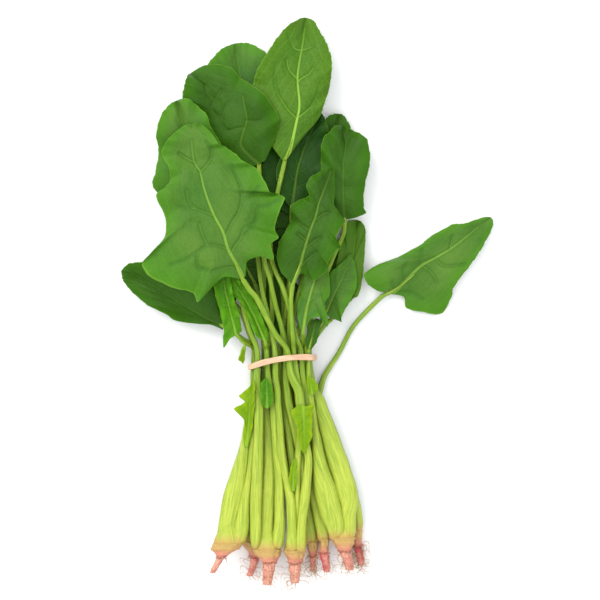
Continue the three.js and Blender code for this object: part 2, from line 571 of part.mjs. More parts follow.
// Stalks and blades, from the bottom of the pile to its top
const stalks = PLANTS.map(() => []);
const slots = [];
for (const leaf of LEAVES) {
  if (!leaf.slot) continue;
  const lower = lowerStalk(leaf);
  if (leaf.loose) lower.length -= 3;
  leaf.lower = lower.map((place) => place.p);
  leaf.halves = lower.map((place) => place.half);
  leaf.radius = leaf.thick || leaf.thin || STALK_RADIUS;
  addToPile(leaf.lower, [], leaf.radius, leaf.halves);
  if (!leaf.loose) slots.push([leaf.lower[leaf.lower.length - 1], leaf.radius]);
}
for (const leaf of LEAVES) {
  const grid = bladeRows(leaf);
  const upper = [];
  if (leaf.slot) {
    const [slotX, slotZ] = leaf.slot;
    const start = new THREE.Vector2(planX(slotX), planY(BAND_TOP_Y));
    const line = leaf.loose ? [] : [start];
    if (leaf.via) line.push(...plan(leaf.via));
    const root = grid[0][(grid[0].length - 1) / 2];
    const end = new THREE.Vector2(root.x, root.y);
    const way = line[line.length - 1].distanceTo(end);
    end.lerp(line[line.length - 1], Math.min(0.5, (GAP + 1.1) / way));
    line.push(end);
    line.forEach((p, i) => {
      const part = line.length === 1 ? 1 : i / (line.length - 1);
      upper.push(new THREE.Vector3(p.x, p.y, slotZ + (leaf.heights[0] - slotZ) * part));
    });
    settle(upper, grid, leaf.radius * 0.85);
    const tipZ = upper[upper.length - 1].z;
    grid[0].forEach((p) => (p.z = Math.max(p.z, tipZ)));
    addToPile(upper, grid, leaf.radius * 0.85);
    const path = [...leaf.lower, ...upper];
    const across = path.map((p, i) =>
      i < leaf.lower.length ? leaf.halves[i] : leaf.radius * (1 - (0.3 * i) / (path.length - 1)));
    const upward = path.map((p, i) => Math.min(across[i], leaf.radius * 1.15));
    stalks[leaf.plant - 1].push(tube(path, across, upward, 6));
  } else {
    settle([], grid, 0);
    addToPile([], grid, 0);
  }
  addPiece(leaf.name, geometryOf(blade(grid)), leaf.tone || "dark");
}

// Crowns, with the green sheath round the feet of the stalks, and roots with a few rootlets
PLANTS.forEach((plant, index) => {
  const centreZ = plant.height;
  const halfWidth = plant.half * PIXEL;
  const halfHeight = CROWN_HALF_HEIGHT;
  const loft = (levels) => {
    const path = levels.map(([x, y]) => new THREE.Vector3(planX(x), planY(y), centreZ));
    const across = levels.map(([, , size]) => halfWidth * size);
    const upward = levels.map(([, , size]) => halfHeight * size);
    return tube(path, across, upward, 12, TOWARDS_ROOTS);
  };
  const top = crownTop(plant);
  const sheath = loft([
    [plant.x, top - 32, 0.45],
    [plant.x, top - 19, 0.9],
    [plant.x, top - 9, 1],
    [plant.x, top, 0.93],
  ]);
  addPiece("plant_" + (index + 1) + "_stems", fused([...stalks[index], sheath]), "stalk");
  const root = plan(plant.root);
  const start = root[0];
  const end = root[root.length - 1];
  const crownEnd = crownTop(plant) + 0.9;
  const middle = new THREE.Vector3(planX(plant.x), planY(crownEnd), centreZ);
  const shape = [
    middle,
    new THREE.Vector3((planX(plant.x) + start.x) / 2, (middle.y + start.y) / 2, centreZ),
    new THREE.Vector3(start.x, start.y - 1, centreZ),
    new THREE.Vector3(root[1].x, root[1].y, centreZ),
    new THREE.Vector3(end.x, end.y, centreZ * 0.97),
  ];
  const width = [halfWidth * 0.88, halfWidth * 0.7, plant.thick * 1.15, plant.thick, plant.thick * 0.75];
  const height = [halfHeight * 0.88, halfHeight * 0.7, plant.thick * 1.1, plant.thick, plant.thick * 0.75];
  const parts = [tube(shape, width, height, 10, TOWARDS_ROOTS)];
  for (let k = 0; k < 4; k++) {
    const from = shape[2 + (k % 2)].clone();
    const turn = (index * 2.4 + k * 1.7) % (2 * Math.PI);
    const reach = 6 + ((index * 3 + k * 5) % 5);
    const lean = new THREE.Vector3(Math.cos(turn), -1.1, 0.5 * Math.sin(turn)).normalize();
    const far = from.clone().addScaledVector(lean, reach);
    far.z = Math.max(0.6, far.z);
    far.y = Math.max(far.y, planY(586));
    parts.push(tube([from, from.clone().lerp(far, 0.6), far], [0.7, 0.55, 0.4], [0.7, 0.55, 0.4], 5));
  }
  addPiece("plant_" + (index + 1) + "_root", fused(parts), "root");
});

// The rubber band follows the outside of the stalks, pulled tight: for each direction round the
// bunch it passes the stalk that stands out furthest.
const bandRings = [];
const BAND_STEPS = 44;
for (let k = 0; k < BAND_STEPS; k++) {
  const angle = (2 * Math.PI * k) / BAND_STEPS;
  const out = new THREE.Vector2(Math.cos(angle), Math.sin(angle));
  const reach = ([p, radius]) => p.x * out.x + p.z * out.y + radius;
  const [p, radius] = slots.reduce((best, slot) => (reach(slot) > reach(best) ? slot : best));
  const arch = out.y > 0 ? 6 : 3;
  const inner = radius + GAP;
  const outer = inner + BAND_THICKNESS;
  const x = p.x + inner * out.x;
  const y = planY(364.3) + 0.137 * (x - planX(280)) + arch * PIXEL * out.y;
  const at = (distance, dy) => {
    const z = Math.max(0.15, p.z + distance * out.y);
    return new THREE.Vector3(p.x + distance * out.x, y + dy, z);
  };
  const half = BAND_WIDTH / 2;
  bandRings.push([at(inner, -half), at(inner, half), at(outer, half), at(outer, -half)]);
}
const bandFaces = bandRings.flatMap((ring, i) => {
  const next = bandRings[(i + 1) % BAND_STEPS];
  return ring.flatMap((a, k) => {
    const [b, c, d] = [ring[(k + 1) % 4], next[(k + 1) % 4], next[k]];
    return [[a, c, b], [a, d, c]];
  });
});
addPiece("rubber_band", geometryOf(bandFaces), "band");

export default bunch;
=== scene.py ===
"""A tied bunch of spinach plants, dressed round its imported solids: waved and veined leaf blades, ribbed
stalks, crowns, hairy root stubs and a rubber band, on a pale floor seen from straight above."""

from functools import partial

import bpy
import numpy as np
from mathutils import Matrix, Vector


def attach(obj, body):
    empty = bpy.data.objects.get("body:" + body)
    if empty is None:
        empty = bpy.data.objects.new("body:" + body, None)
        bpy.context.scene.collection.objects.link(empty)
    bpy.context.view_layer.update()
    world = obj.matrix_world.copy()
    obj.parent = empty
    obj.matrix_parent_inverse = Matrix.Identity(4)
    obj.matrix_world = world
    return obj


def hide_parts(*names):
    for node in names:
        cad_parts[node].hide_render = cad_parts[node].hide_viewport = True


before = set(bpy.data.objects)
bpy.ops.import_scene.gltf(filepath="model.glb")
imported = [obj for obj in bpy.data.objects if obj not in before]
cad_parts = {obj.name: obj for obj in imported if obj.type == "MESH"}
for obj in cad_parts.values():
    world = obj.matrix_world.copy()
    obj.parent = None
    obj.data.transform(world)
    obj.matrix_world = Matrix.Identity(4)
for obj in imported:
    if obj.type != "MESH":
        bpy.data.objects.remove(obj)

bl_info = {
    "name": "Spinach bunch",
    "version": (1, 0, 0),
    "blender": (4, 5, 0),
    "location": "View3D > Sidebar > Spinach",
    "description": "Builds a tied bunch of spinach plants round its packed solids",
    "category": "Add Mesh",
}

MM = 0.001
# The plan is drawn in picture pixels: x to the right, y towards the roots.
PIXEL = 327 / 573  # millimetres
PICTURE_CENTRE = (307, 300.75)  # what lies at the frame's origin
VIEW_CENTRE = (300, 300)  # what the camera looks straight down on
VIEW_PIXELS = 600
# Pixels along the bunch: the length of a crown, the levels that a hidden stalk passes, both edges of the
# part under the band, and where the stalks have spread out as far as their crowns
CROWN_LENGTH = 9
STALK_LEVELS = (545, 533, 515, 495, 470, 445, 420, 397, 374)
BAND_TOP_Y = 350
BAND_LOW_Y = 374
SPREAD_Y = 535
BAND_MIDDLE = (280, 363.2)  # a place on the band's middle line
BAND_SLOPE = 0.137  # how far the band runs up to the right
BAND_ARCH = (4.6, -1)  # how far its upper and its hidden under side bow, in pixels
# Millimetres: thickness of a blade, half width of a stalk and of a hidden stalk's foot, the gap between
# what touches, the band's section, the heights of the crowns' axes and half a crown's height
BLADE_THICKNESS = 0.9
STALK_RADIUS = 1.85
REAR_FOOT = 2.4
GAP = 0.45
BAND_WIDTH = 3.4
BAND_THICKNESS = 1.1
FRONT_CROWN_HEIGHT = 14.5
REAR_CROWN_HEIGHT = 4.3
BETWEEN_CROWN_HEIGHT = 9.3
CROWN_HALF_HEIGHT = 5.6
# Middle heights of the stalks under the band, in front and behind, and the way between a stalk's rings
FRONT_SLOTS_HEIGHT = 15.5
REAR_SLOTS_HEIGHT = 5
RING_STEP = 1.6
# How many directions round the bunch the band is worked out in, its sections and the corners of each
BAND_DIRECTIONS = 1440
BAND_SECTIONS = 420
BAND_SIDES = 20
# Half thickness of the root's hairs, stouter side roots and dry scales, in millimetres
HAIR, ROOTLET, SCALE = 0.2, 0.42, 0.34
# How finely a leaf is drawn that is small or out of sight, how strong its waves are, how much pale veins
# show where a leaf doesn't say, and the share below which its rib is hidden
PLAIN_GRID = (60, 25)
PLAIN_RELIEF = 0.35
PLAIN_VEIN_SHARE = 0.5
FAINT_VEINS = 0.35
NO_VEIN = 99.0  # millimetres: no side vein near
SLOT = {"dark": "leaf_dark", "leaf": "leaf_green", "light": "leaf_light"}
# Metres: half a side of the floor, how far it lies under the bunch, and the bunch's middle height
FLOOR_HALF = 3.0
FLOOR_DROP = 0.0003
BUNCH_MIDDLE_HEIGHT = 0.018

# Each plant: crown middle, half width and lower end in the plan, height of its axis, and its root as the
# line and the half thickness. redness: of the root's skin. hairs: how many it has left.
PLANTS = [
    dict(x=228, half=15.5, bottom=555, height=FRONT_CROWN_HEIGHT,
         root="221,556 216,566 212,574", thick=2.1, redness=0.25, hairs=5),
    dict(x=250, half=8, bottom=555, height=REAR_CROWN_HEIGHT,
         root="254,557 253,567 249,579", thick=2.2, redness=0.45, hairs=8),
    dict(x=267, half=15, bottom=561, height=FRONT_CROWN_HEIGHT,
         root="269,562 268,574 267,586", thick=3.2, redness=0.35, hairs=26),
    dict(x=294.5, half=11.5, bottom=562, height=FRONT_CROWN_HEIGHT,
         root="295,562 295,574 295,584", thick=3.1, redness=0.15, hairs=34),
    dict(x=312.5, half=6.5, bottom=555, height=REAR_CROWN_HEIGHT,
         root="313,557 313,566 312,574", thick=1.6, redness=0.3, hairs=22),
    dict(x=325, half=5.2, bottom=551, height=BETWEEN_CROWN_HEIGHT,
         root="324,553 326,564 327,574", thick=2.3, redness=0.95, hairs=6),
    dict(x=343.5, half=12.2, bottom=549, height=FRONT_CROWN_HEIGHT,
         root="345,550 348,561 350,571", thick=2.9, redness=0.3, hairs=26),
    dict(x=357, half=6.5, bottom=543, height=REAR_CROWN_HEIGHT,
         root="358,546 360,557 361.5,568", thick=2.2, redness=0.8, hairs=60),
]
# A plain spinach leaf for the under side: distance along the rib, half width, both over its length.
PLAIN_LEAF = ((-0.012, 0.02), (-0.01, 0.17), (-0.09, 0.34), (0.1, 0.33), (0.28, 0.29), (0.48, 0.31),
              (0.68, 0.25), (0.86, 0.13))
# The leaves as the solids have them, from the bottom of the pile to its top, in picture pixels.
# plant: which one it grows on, 1 to 8. slot: where its stalk passes the band, and its height in mm.
# track: the stalk below the band as "x,y,half width". Where it is hidden, crown says where it leaves its
# crown, and foot its half width there in mm. radius: its half width at the band in mm, where it isn't
# that of most. loose: it passes outside the band. via: its way from the band to the blade.
# rib, left, right: the blade's lines from base to tip. A hidden blade has a base, a tip and its width as
# a share of PLAIN_LEAF's. power: over 1 where its rows crowd towards the base, under 1 towards the tip.
# grid: rows along the blade and places across it. relief: how strong its waves and pillows are; on top
# of the pile there is room for them. tone: its slot. finish: its colours where they aren't those of its
# tone. veins: the rib and side veins that the photograph shows, each from where it leaves the rib; other
# leaves get even side veins. vein_share: how strongly pale veins show. wings: the line down the stalk
# that the blade runs on along, its half widths and its height in mm. grows_on: the leaf whose stalk
# carries a small leaf's own.
LEAVES = [
    dict(name="leaf_under_middle", plant=5, crown=307, slot=(284, 3.2), width=0.85, base=(281, 262),
         tip=(296, 128), via="284,320 282,290",
         wings=("281,258 281,272 282,290 283,306 284,320 284,330 284,342 284,352",
                (6, 16, 17, 15, 12, 10, 6, 1), 2.5)),
    dict(name="leaf_under_left", plant=2, crown=252, slot=(269, 3.2), width=0.8, base=(254, 282),
         tip=(196, 176), via="266,325 261,300",
         wings=("252,276 253,288 257,298 260,308 264,321 266,335 267,352",
                (8, 13, 14, 12, 9, 7, 1), 1.9)),
    dict(name="leaf_under_right", plant=5, crown=311, slot=(293, 3.2), width=0.75, base=(314, 298),
         tip=(352, 236), via="300,325 308,308"),
    dict(name="leaf_right_back", plant=8, slot=(309.5, 9.4), finish="back", grid=(80, 33), vein_share=0.3,
         via="316,337 325,325",
         track="358.6,540,3.2 358.8,527.6,3.6 357.5,514.8,3.8 355,502,3.8 349,485,3.8 341,465,3.8 "
               "330,445,3.8 322,420,3.6 316,397,3.4 311,374,3.2",
         rib="332,319 345,285 354,252 357,219",
         left="329,317 330,300 333,280 337,262 340,247 343,236 345,227 349,220 353,219 357,219",
         right="335,320 346,308 353,299 359,295 363,278 365,254 366,238 366,228 362,221 357,219"),
    dict(name="leaf_under_low_left", plant=2, crown=245, slot=(256, 7.2), width=0.56, base=(232.5, 302),
         tip=(158, 284), via="249,335 241,313"),
    dict(name="leaf_under_high_right", plant=6, crown=322, slot=(295.5, 7.2), width=0.62, base=(306, 248),
         tip=(349, 142), via="300,320 302,280"),
    dict(name="leaf_under_high_left", plant=2, crown=249, slot=(263.5, 7.3), width=0.62, base=(262, 238),
         tip=(226, 74), via="262,320 264,275"),
    dict(name="leaf_under_top", plant=3, slot=(268, 11.4), width=0.66, base=(268, 226), tip=(270, 60),
         via="272,320 271,275",
         track="265.4,546,6.1 267.3,514.8,6.1 268.2,489,5.7 269,463.8,5.6 268.9,442,5.1 266.5,413,3.2 "
               "267,390,3 268,374,3"),
    # leaf_middle_dark and leaf_dark_behind take the deepest finish: painted shade, near black, for the dark
    # gap in the bunch
    dict(name="leaf_middle_dark", plant=5, crown=308, slot=(279.7, 7.3), finish="deepest", grid=(70, 33),
         vein_share=0.2, power=1.1, via="286,310 291,260", rib="293,215 294,195 294,155 292,128",
         left="290,215 276,205 266,190 262,170 266,152 274,139 283,131 292,128",
         right="296,215 308,203 315,186 316,168 312,150 305,138 299,131 292,128"),
    dict(name="leaf_right_high_back", plant=5, crown=312, slot=(287.6, 7.3), relief=0.15, grid=(70, 33),
         vein_share=0.15, via="295,310 308,260 318,210", rib="322,172 332,140 339,112",
         left="320,172 316,155 319,138 323,124 327,116 332,113 336,112 339,112",
         right="325,172 338,165 349,152 353,138 351,126 347,118 343,113 339,112"),
    dict(name="leaf_dark_behind", plant=4, slot=(288, 11.7), finish="deepest", grid=(80, 37), vein_share=0.3,
         via="290,310 291,260",
         track="294,547,4 294,515,3.4 294,495,3.3 293,470,3.3 290,445,3.2 286.5,420,3.2 284.5,397,3.2 "
               "286,374,3.2",
         rib="292,206 297,171 303,150 312,130 322,112",
         left="289,206 279,190 276,170 284,150 294,134 303,122 311,115 317,112 322,112",
         right="295,205 308,196 322,182 330,165 332,148 330,134 327,124 325,117 322,112"),
    dict(name="leaf_top_left_back", plant=4, slot=(275, 19.3), tone="leaf", relief=0.15, grid=(110, 49),
         vein_share=0.3, via="269,320 262,290 257,250 252,200",
         track="292,550,5 292,527.6,4.1 291.5,515,4.2 290.5,500,4 286,476.5,3.3 281.5,451,3.3 280,425.5,2.9 "
               "278,400,2.8 277.5,390,2.9 275.5,374,3",
         rib="250,152 246,110 240,75 234,41",
         left="247,153 228,140 214,120 206,98 202,80 207,64 216,53 222,47 229,43 234,41",
         right="253,151 266,138 278,118 284,96 283,76 276,62 262,49 250,42 241,41 234,41"),
    dict(name="leaf_right_low", plant=6, crown=325, slot=(303.6, 7.1), finish="leaf", grid=(70, 29),
         via="310,338", rib="322,322 333,298 345,272 352,253",
         left="320,320 321,305 324,290 330,273 338,266 345,259 349,255 352,253",
         right="325,322 328,316 341,322 342,316 351,300 357,286 356,268 352,253"),
    dict(name="leaf_right", plant=7, slot=(306.5, 14.2), tone="leaf", finish="dark", relief=0.25,
         grid=(120, 49), vein_share=0.22, via="309,336 311,320 320,290 334,255 343,235",
         track="350.2,540,5 349.5,527.6,5.4 349,515,6 349,502,7.5 346,489.3,8.3 342.5,476.5,8 "
               "338.4,463.8,8.3 334,451,7.6 330.4,438.3,7.3 326.3,425.5,6.4 322.1,412.8,5.4 319.3,400,4.2 "
               "313.6,390,3.5 309,374,3.2",
         rib="345,218 343,190 343,164 346,145 343,124",
         left="341,217 333,209 326,196 321,182 321,169 321,160 321,147 324,137 330,131 334,126 337,125 "
              "340,124 343,124",
         right="348,219 357,217 366,213 364,207 364,194 366,181 370,163 370,152 367,139 360,133 354,130 "
               "348,127 343,124"),
    dict(name="leaf_top_light", plant=7, slot=(301, 16.4), tone="light", finish="back", relief=0.9,
         grid=(200, 101), vein_share=1.0, power=1.1, via="297,339 291,314 283,288 272,261 271,228 277,195",
         track="337.5,540,6 336.2,527.6,8 332,514.8,9.6 328.5,502,9.2 325.3,489.3,8.6 322.1,476.5,7.3 "
               "319.6,463.8,6 317.7,451,4.8 316.4,438.3,3.9 314.5,430,3.6 309,410,3.3 305.2,390,3.2 "
               "302.5,374,3.2",
         rib="285,160 292,142 299,118 300,104 298,78 300,54 306,15",
         left="283,161 274,149 262,130 255,108 252,92 254,80 258,69 267,54 276,39 287,26 300,17 306,15",
         right="287,159 300,141 319,118 325,102 329,90 331,78 332,67 331,56 326,42 320,31 314,19 306,15",
         veins=("285,160 289.7,151 296.7,121 299.4,104.4 297.5,76.7 302.2,46 305,26.7",
                "296.7,119 285.6,107.2 275.8,87.8 275.3,68.3 276.7,64",
                "298,118 310.6,107.2 317.5,93.3 318.9,84", "301,50 293.9,47.5 288.3,35",
                "301,50 306,49 313.3,46", "298,83 300.8,79.4 309.2,74 313.3,68.3", "298,80 289,70 287,60",)),
    dict(name="leaf_top_round", plant=4, slot=(285.5, 15.3), tone="leaf", finish="dark", relief=0.8,
         grid=(170, 101), vein_share=0.3, power=1.2, via="283,333 276,307 270,280 264,258 261,215",
         track="299,547,4 300,533,3.6 301,515,3.4 302,495,3.2 302,476.5,3.2 300.8,457.4,3.2 296.6,438,3 "
               "292.5,419,3.3 288.3,400,3.5 285.6,374,3.2",
         rib="259,164 252,145 244,125 228,105 210,86 190,72",
         left="255,166 242,163 228,155 212,140 200,125 190,112 183,100 184,90 185,83 187,77 188,74 190,72",
         right="265,161 272,146 277,131 279,119 275,110 265,96 252,86 240,78 232,69 220,65 203,65 190,72",
         veins=("259,164 250,156 241,145 243,134 247,121 245,107 243,97", "247,121 254,122 261,121",
                "244,128 237,129 229,131 224,127 222.3,118.5 228,103",
                "223,120 213,111 214.6,101 221.3,90.6", "214,102 207,93.5 206,84", "207,93.5 198,92.5",)),
    dict(name="leaf_left", plant=3, slot=(257, 18.5), tone="leaf", relief=0.2, grid=(120, 57),
         vein_share=0.12,
         via="248,325 242,303 236,275 226,243",
         track="255.2,546.7,3.5 255.5,527.6,4.5 255.8,502,4.8 257,476.5,4.8 258.3,451,4.1 259,425.5,3.7 "
               "259,400,3.8 258,390,3.5 257,374,3.3",
         rib="214,214 205,185 195,158 185,132 178,101",
         left="211,216 190,214 170,203 153,187 156,172 159,152 157,135 162,117 168,108 173,104 178,101",
         right="217,212 226,196 229,176 226,156 219,140 211,127 208,117 199,108 190,101 184,100 178,101"),
    # leaf_low_left takes the dark finish as painted shade: it lies in the shadow of the large front leaf
    dict(name="leaf_low_left", plant=1, slot=(256.8, 11), tone="light", finish="dark", relief=0.35,
         grid=(110, 49), vein_share=0.12, power=1.2, via="241,338 231,330",
         track="224.3,546.7,6.5 227.4,527.6,7.6 231.9,502,7.6 238,476.5,6.7 243.8,451,4.6 247,430,3.6 "
               "250,410,3.2 253,390,3.2 256,374,3.2",
         rib="223,326 207,319 186,307 160,291 139,277 119,271",
         left="223,330 211,325 197,324 176,321 165,314 148,306 139,299 130,291 124,284 121,279 120,275 "
              "119,271",
         right="226,321 220,312 214,292 205,276 190,266 172,259 157,257 145,261 137,262 128,263 122,267 "
               "119,271"),
    dict(name="leaf_band_right", plant=7, crown=334, foot=2.6, slot=(308.6, 17.4), radius=1.3, via="308,354",
         rib="309,349 312,338 316,318", left="307,349 305,343 306,336 309,328 312,321 316,318",
         right="311,350 316,343 319,335 320,328 322,321 316,318"),
    dict(name="leaf_right_toothed", plant=7, slot=(303, 11.4), tone="leaf", grid=(120, 49), vein_share=0.7,
         power=0.7, via="303,342",
         track="342,538,3 340,502,2.6 333.3,476.5,3.2 327,457,2.8 320,435,2.7 314,412,2.7 308,392,2.9 "
               "304,374,3.1",
         rib="303,332 306,312 311,292 318,270 322,250",
         left="301,331 298,320 297,311 298,302 301,295 302,284 304,275 306,264 310,256 316,251 322,250",
         right="305,331 307,325 311,319 320,317 327,327 328,319 325,303 330,293 329,275 328,260 322,250",
         veins=("303,332 306,312 311,292 318,270 322,250", "303,330 308,320 316,311", "297,312.4 304,300.5",
                "308,302 316,296 321,295",)),
    dict(name="leaf_right_front", plant=4, slot=(293.6, 18.6), tone="leaf", finish="dark", relief=0.9,
         grid=(170, 73), vein_share=0.75, power=0.8, via="293,338 292,328 291,300",
         track="297,547,3 298,533,2.4 298.9,521,2.4 298,508,2.4 297.6,489,2.6 297.5,470,2.8 299,445,2.8 "
               "300,420,2.8 300,397,3 296,374,3.2",
         rib="293,284 296,276 301,263 304,247 309,231 315,221 322,195 331,167",
         left="291,283 281,272 277,258 279,243 286,231 291,220 290,209 296,202 303,199 309,196 306,186 "
              "311,177 318,174 322,170 326,168 331,167",
         right="296,283 300,274 308,275 314,281 328,270 327,264 337,250 341,249 336,237 343,225 345,221 "
               "339,213 334,205 335,189 334,171 331,167",
         veins=("292,293 299.3,269.5 304,250.5 310,231.4 316,214.8 318.3,205 324,190 331,172",
                "310,231.4 299.3,223 293.3,216", "306.4,241 298,233.8", "300,268 309,258 317,252",
                "314,221 322,215 328,213", "304,250 314,241 321,238",)),
    dict(name="leaf_crinkled", plant=3, slot=(266.5, 17.2), tone="light", finish="yellow", relief=0.9,
         grid=(90, 29), via="266,346",
         track="276.5,546.7,5 279.4,527.6,4.8 279.4,502,4.2 279,476.5,3.8 276,451,2.9 274,425.5,2.7 "
               "272.5,400,2.7 268,374,2.9",
         rib="265,341 256,320 244,297 227,270",
         left="263,341 256,336 251,325 246,312 242,303 234,297 228,290 224,281 227,270",
         right="268,341 268,332 264,322 258,308 252,297 246,289 240,281 234,274 227,270"),
    dict(name="leaf_yellow", plant=1, slot=(252.8, 13.6), radius=1.2, tone="light", finish="yellow",
         relief=0.7, grid=(90, 29), power=1.3, via="250,346 243,342",
         track="237,544,5 241.5,527.6,6 244.9,502,4.5 249.1,476.5,3 252,451,2.6 253,420,2.4 253,400,2.4 "
               "252.8,374,2.4",
         rib="236,334 231,315 226,292 222,262",
         left="235,336 230,339 224,348 223,338 224,329 220,311 215,293 214,280 217,270 222,262",
         right="238,334 242,331 241,324 240,317 239,312 235,301 233,292 231,280 228,269 222,262"),
    dict(name="leaf_front_large", plant=4, slot=(287, 20.8), radius=2.2, tone="leaf", relief=1.0,
         grid=(210, 145), vein_share=0.75, power=0.8, via="275,333 258,300 250,290",
         track="300.5,550,4.6 302,521,4 304.6,502,4 306.5,483,3.8 308.4,463.8,3.2 307.8,453.6,3.2 "
               "305,440,3.3 303,420,3.5 300,403,3.8 298.3,390,3.9 291,374,3.8",
         rib="243,279 232,255 223,234 214,212 206,188 195,166 192,148 193,125",
         left="239,279 225,277 215,285 204,297 198,302 194,293 175,288 153,278 143,265 153,253 166,238 "
              "167,220 158,197 167,188 172,180 170,168 164,158 164,150 170,141 177,133 186,127 193,125",
         right="246,276 247,263 252,259 261,257 274,260 271,245 279,238 275,230 279,214 285,200 279,195 "
               "270,193 265,182 256,169 244,163 237,156 227,149 219,145 214,137 204,127 198,125 193,125",
         veins=("245,281 239,268 229,250 224,233 216,218 208.5,200 204,185 201,173 195.4,163.5 "
                "193.3,152.6 192.8,142",
                "201,173 206.3,168 211.7,159 211.7,150 207.4,144", "195.4,163.5 186.7,159 180.2,155",
                "216,218 210.7,215 197.6,210.2 180,208", "197.6,210.2 190,202.6 187.8,191.7",
                "229,250.4 221.5,247.2 209.6,245.7 199.8,251.5 186.7,260.2 172.6,264.6",
                "209,245.7 207,243 202,231 201,224", "200,252 197.6,259 199.8,267.8 208.5,270",
                "239,268 226,268 212,272",
                "227,236 233.5,222.2 239,213.5 242,202.6 241,187.4 235.7,174.3 231,165.7",
                "242,203 247.6,198.3 256.3,192.8 259.6,187.4",
                "232,252.6 239,241.7 249.8,231 256.3,220 258.5,209 267,207 280,200.4",
                "241,239 245.4,228.7 254,225.4",)),
    dict(name="leaf_outlying", plant=5, crown=316, slot=(309, 2.2), loose=True, tone="light", finish="leaf",
         relief=0.9, grid=(160, 81), vein_share=0.65, power=0.8,
         via="311,432 315,410 320,392 324,378 331,366 340,352 355,325 382,297",
         rib="391,292 397,290 409,279 431,261 451,247 468,237 493,216",
         left="389,290 381,292 369,285 364,274 379,264 398,257 422,244 430,237 453,224 465,223 477,219 "
              "487,216 493,216",
         right="392,294 405,297 407,308 422,312 443,314 453,297 455,287 470,267 478,256 486,243 494,228 "
               "495,220 493,216",
         veins=("391,292 396,291 406,281 421,266 436,257.5 451,248.8 466,237.5 480,226",
                "396,291.5 411,292.5 423.8,298.8", "436,258 446,265.5 466,263.8", "421,266 422.5,250",
                "451,248.8 453.8,235", "396,291 392.5,282.5", "406,281 404,270 408,262",
                "422,265 432,272 438,282",)),
    dict(name="leaf_small_toothed", plant=1, finish="young", relief=0.9, grid=(80, 25),
         rib="246,447 249,420 250,400 253,378",
         left="244,447 243,433 244,420 234,409 245,402 239,396 249,387 253,378",
         right="248,447 251,436 253,424 254,412 255,402 255,392 255,384 253,378"),
    dict(name="leaf_small_hanging", plant=1, tone="leaf", finish="young", grows_on="leaf_yellow",
         rib="245,346 244,355 243,364", left="246,346 246,350 245,355 245,359 244,362 243,364",
         right="243,346 241,350 240,355 238,360 241,362 243,364"),
    dict(name="leaf_small_between", plant=3, finish="yellow", rib="267,408 267,390 266,378",
         left="265,408 261,401 260,392 261,383 266,377", right="269,408 273,401 273,392 271,383 266,377"),
    dict(name="leaf_small_olive", plant=7, tone="light", finish="young", rib="312,395 311,386 309,377",
         left="310,395 308,390 307,385 307,380 309,376", right="314,394 318,390 318,386 315,380 309,376"),
    dict(name="leaf_small_narrow", plant=4, finish="young", rib="293,491 293,475 295,457",
         left="291,491 289,480 290,469 292,462 295,457", right="295,491 297,479 297,470 297,463 295,457"),
    dict(name="leaf_small_front", plant=4, tone="leaf", finish="young", relief=0.9, grid=(60, 25),
         rib="303,405 304,425 304,454", left="306,406 314,404 313,409 312,422 312,436 308,446 304,454",
         right="300,404 291,411 295,422 297,429 299,443 301,449 304,454"),
]


def plan_x(x):
    """Millimetres to the right of the origin, from picture pixels."""
    return (np.asarray(x, float) - PICTURE_CENTRE[0]) * PIXEL


def plan_y(y):
    """Millimetres from the origin towards the leaf tips, from picture pixels."""
    return (PICTURE_CENTRE[1] - np.asarray(y, float)) * PIXEL


def numbers(text):
    """The numbers of a text of groups, one row a group."""
    return np.array([[float(v) for v in group.split(",")] for group in text.split()])


def plan(text):
    """The plan points of a text of "x,y" pixel pairs, in millimetres."""
    pairs = numbers(text)
    return np.column_stack((plan_x(pairs[:, 0]), plan_y(pairs[:, 1])))


def along(points, fractions):
    """Points at fractions of the length of a line: linear between its corners by distance covered."""
    steps = np.linalg.norm(np.diff(points, axis=0), axis=1)
    covered = np.concatenate(([0], np.cumsum(steps))) / steps.sum()
    return np.column_stack([np.interp(fractions, covered, points[:, k]) for k in range(points.shape[1])])


def smooth_rows(values, places, softness=1.0):
    """Rows read at fractional row numbers: a cubic through the rows, whose slope at a row is that
    between its neighbours. A softness under 1 draws it towards straight lines, for sharper corners."""
    last = len(values) - 1
    i = np.clip(np.floor(places).astype(int), 0, last - 1)
    shape = (-1,) + (1,) * (values.ndim - 1)
    t = (places - i).reshape(shape)
    a, b = values[i], values[i + 1]
    before, after = values[np.maximum(i - 1, 0)], values[np.minimum(i + 2, last)]
    start, end = softness * (b - before) / 2, softness * (after - a) / 2
    start, end = start + (1 - softness) * (b - a), end + (1 - softness) * (b - a)
    return (
        (2 * t**3 - 3 * t**2 + 1) * a
        + (t**3 - 2 * t**2 + t) * start
        + (3 * t**2 - 2 * t**3) * b
        + (t**3 - t**2) * end
    )


def wobble(x, y, scale, seed):
    """Smooth bumps between -1 and 1: three sine waves of about the same length in turned directions."""
    turns = np.array([0.3, 2.4, 4.4]) + seed * 1.7
    waves = [
        np.sin(2 * np.pi * (x * np.cos(a) + y * np.sin(a)) / (scale * (0.8 + 0.3 * k)) + seed * (k + 1.3))
        for k, a in enumerate(turns)
    ]
    return sum(waves) / 3


def node_corners(name):
    """The corners of a solid, in millimetres."""
    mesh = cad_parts[name].data
    flat = np.empty(len(mesh.vertices) * 3, np.float32)
    mesh.vertices.foreach_get("co", flat)
    return flat.reshape(-1, 3).astype(float) / MM


def heights_at(corners, points, reach=0.04):
    """For each plan point the middle height of the corners that stand on it, or nan where none does."""
    dx = points[:, None, 0] - corners[None, :, 0]
    dy = points[:, None, 1] - corners[None, :, 1]
    near = dx**2 + dy**2 < reach**2
    low = np.where(near, corners[None, :, 2], np.inf).min(1)
    high = np.where(near, corners[None, :, 2], -np.inf).max(1)
    found = near.any(1)
    return np.where(found, (np.where(found, low, 0) + np.where(found, high, 0)) / 2, np.nan)


def filled(values):
    """The same list with each gap bridged from its neighbours."""
    known = np.isfinite(values)
    places = np.arange(len(values))
    return np.interp(places, places[known], values[known])


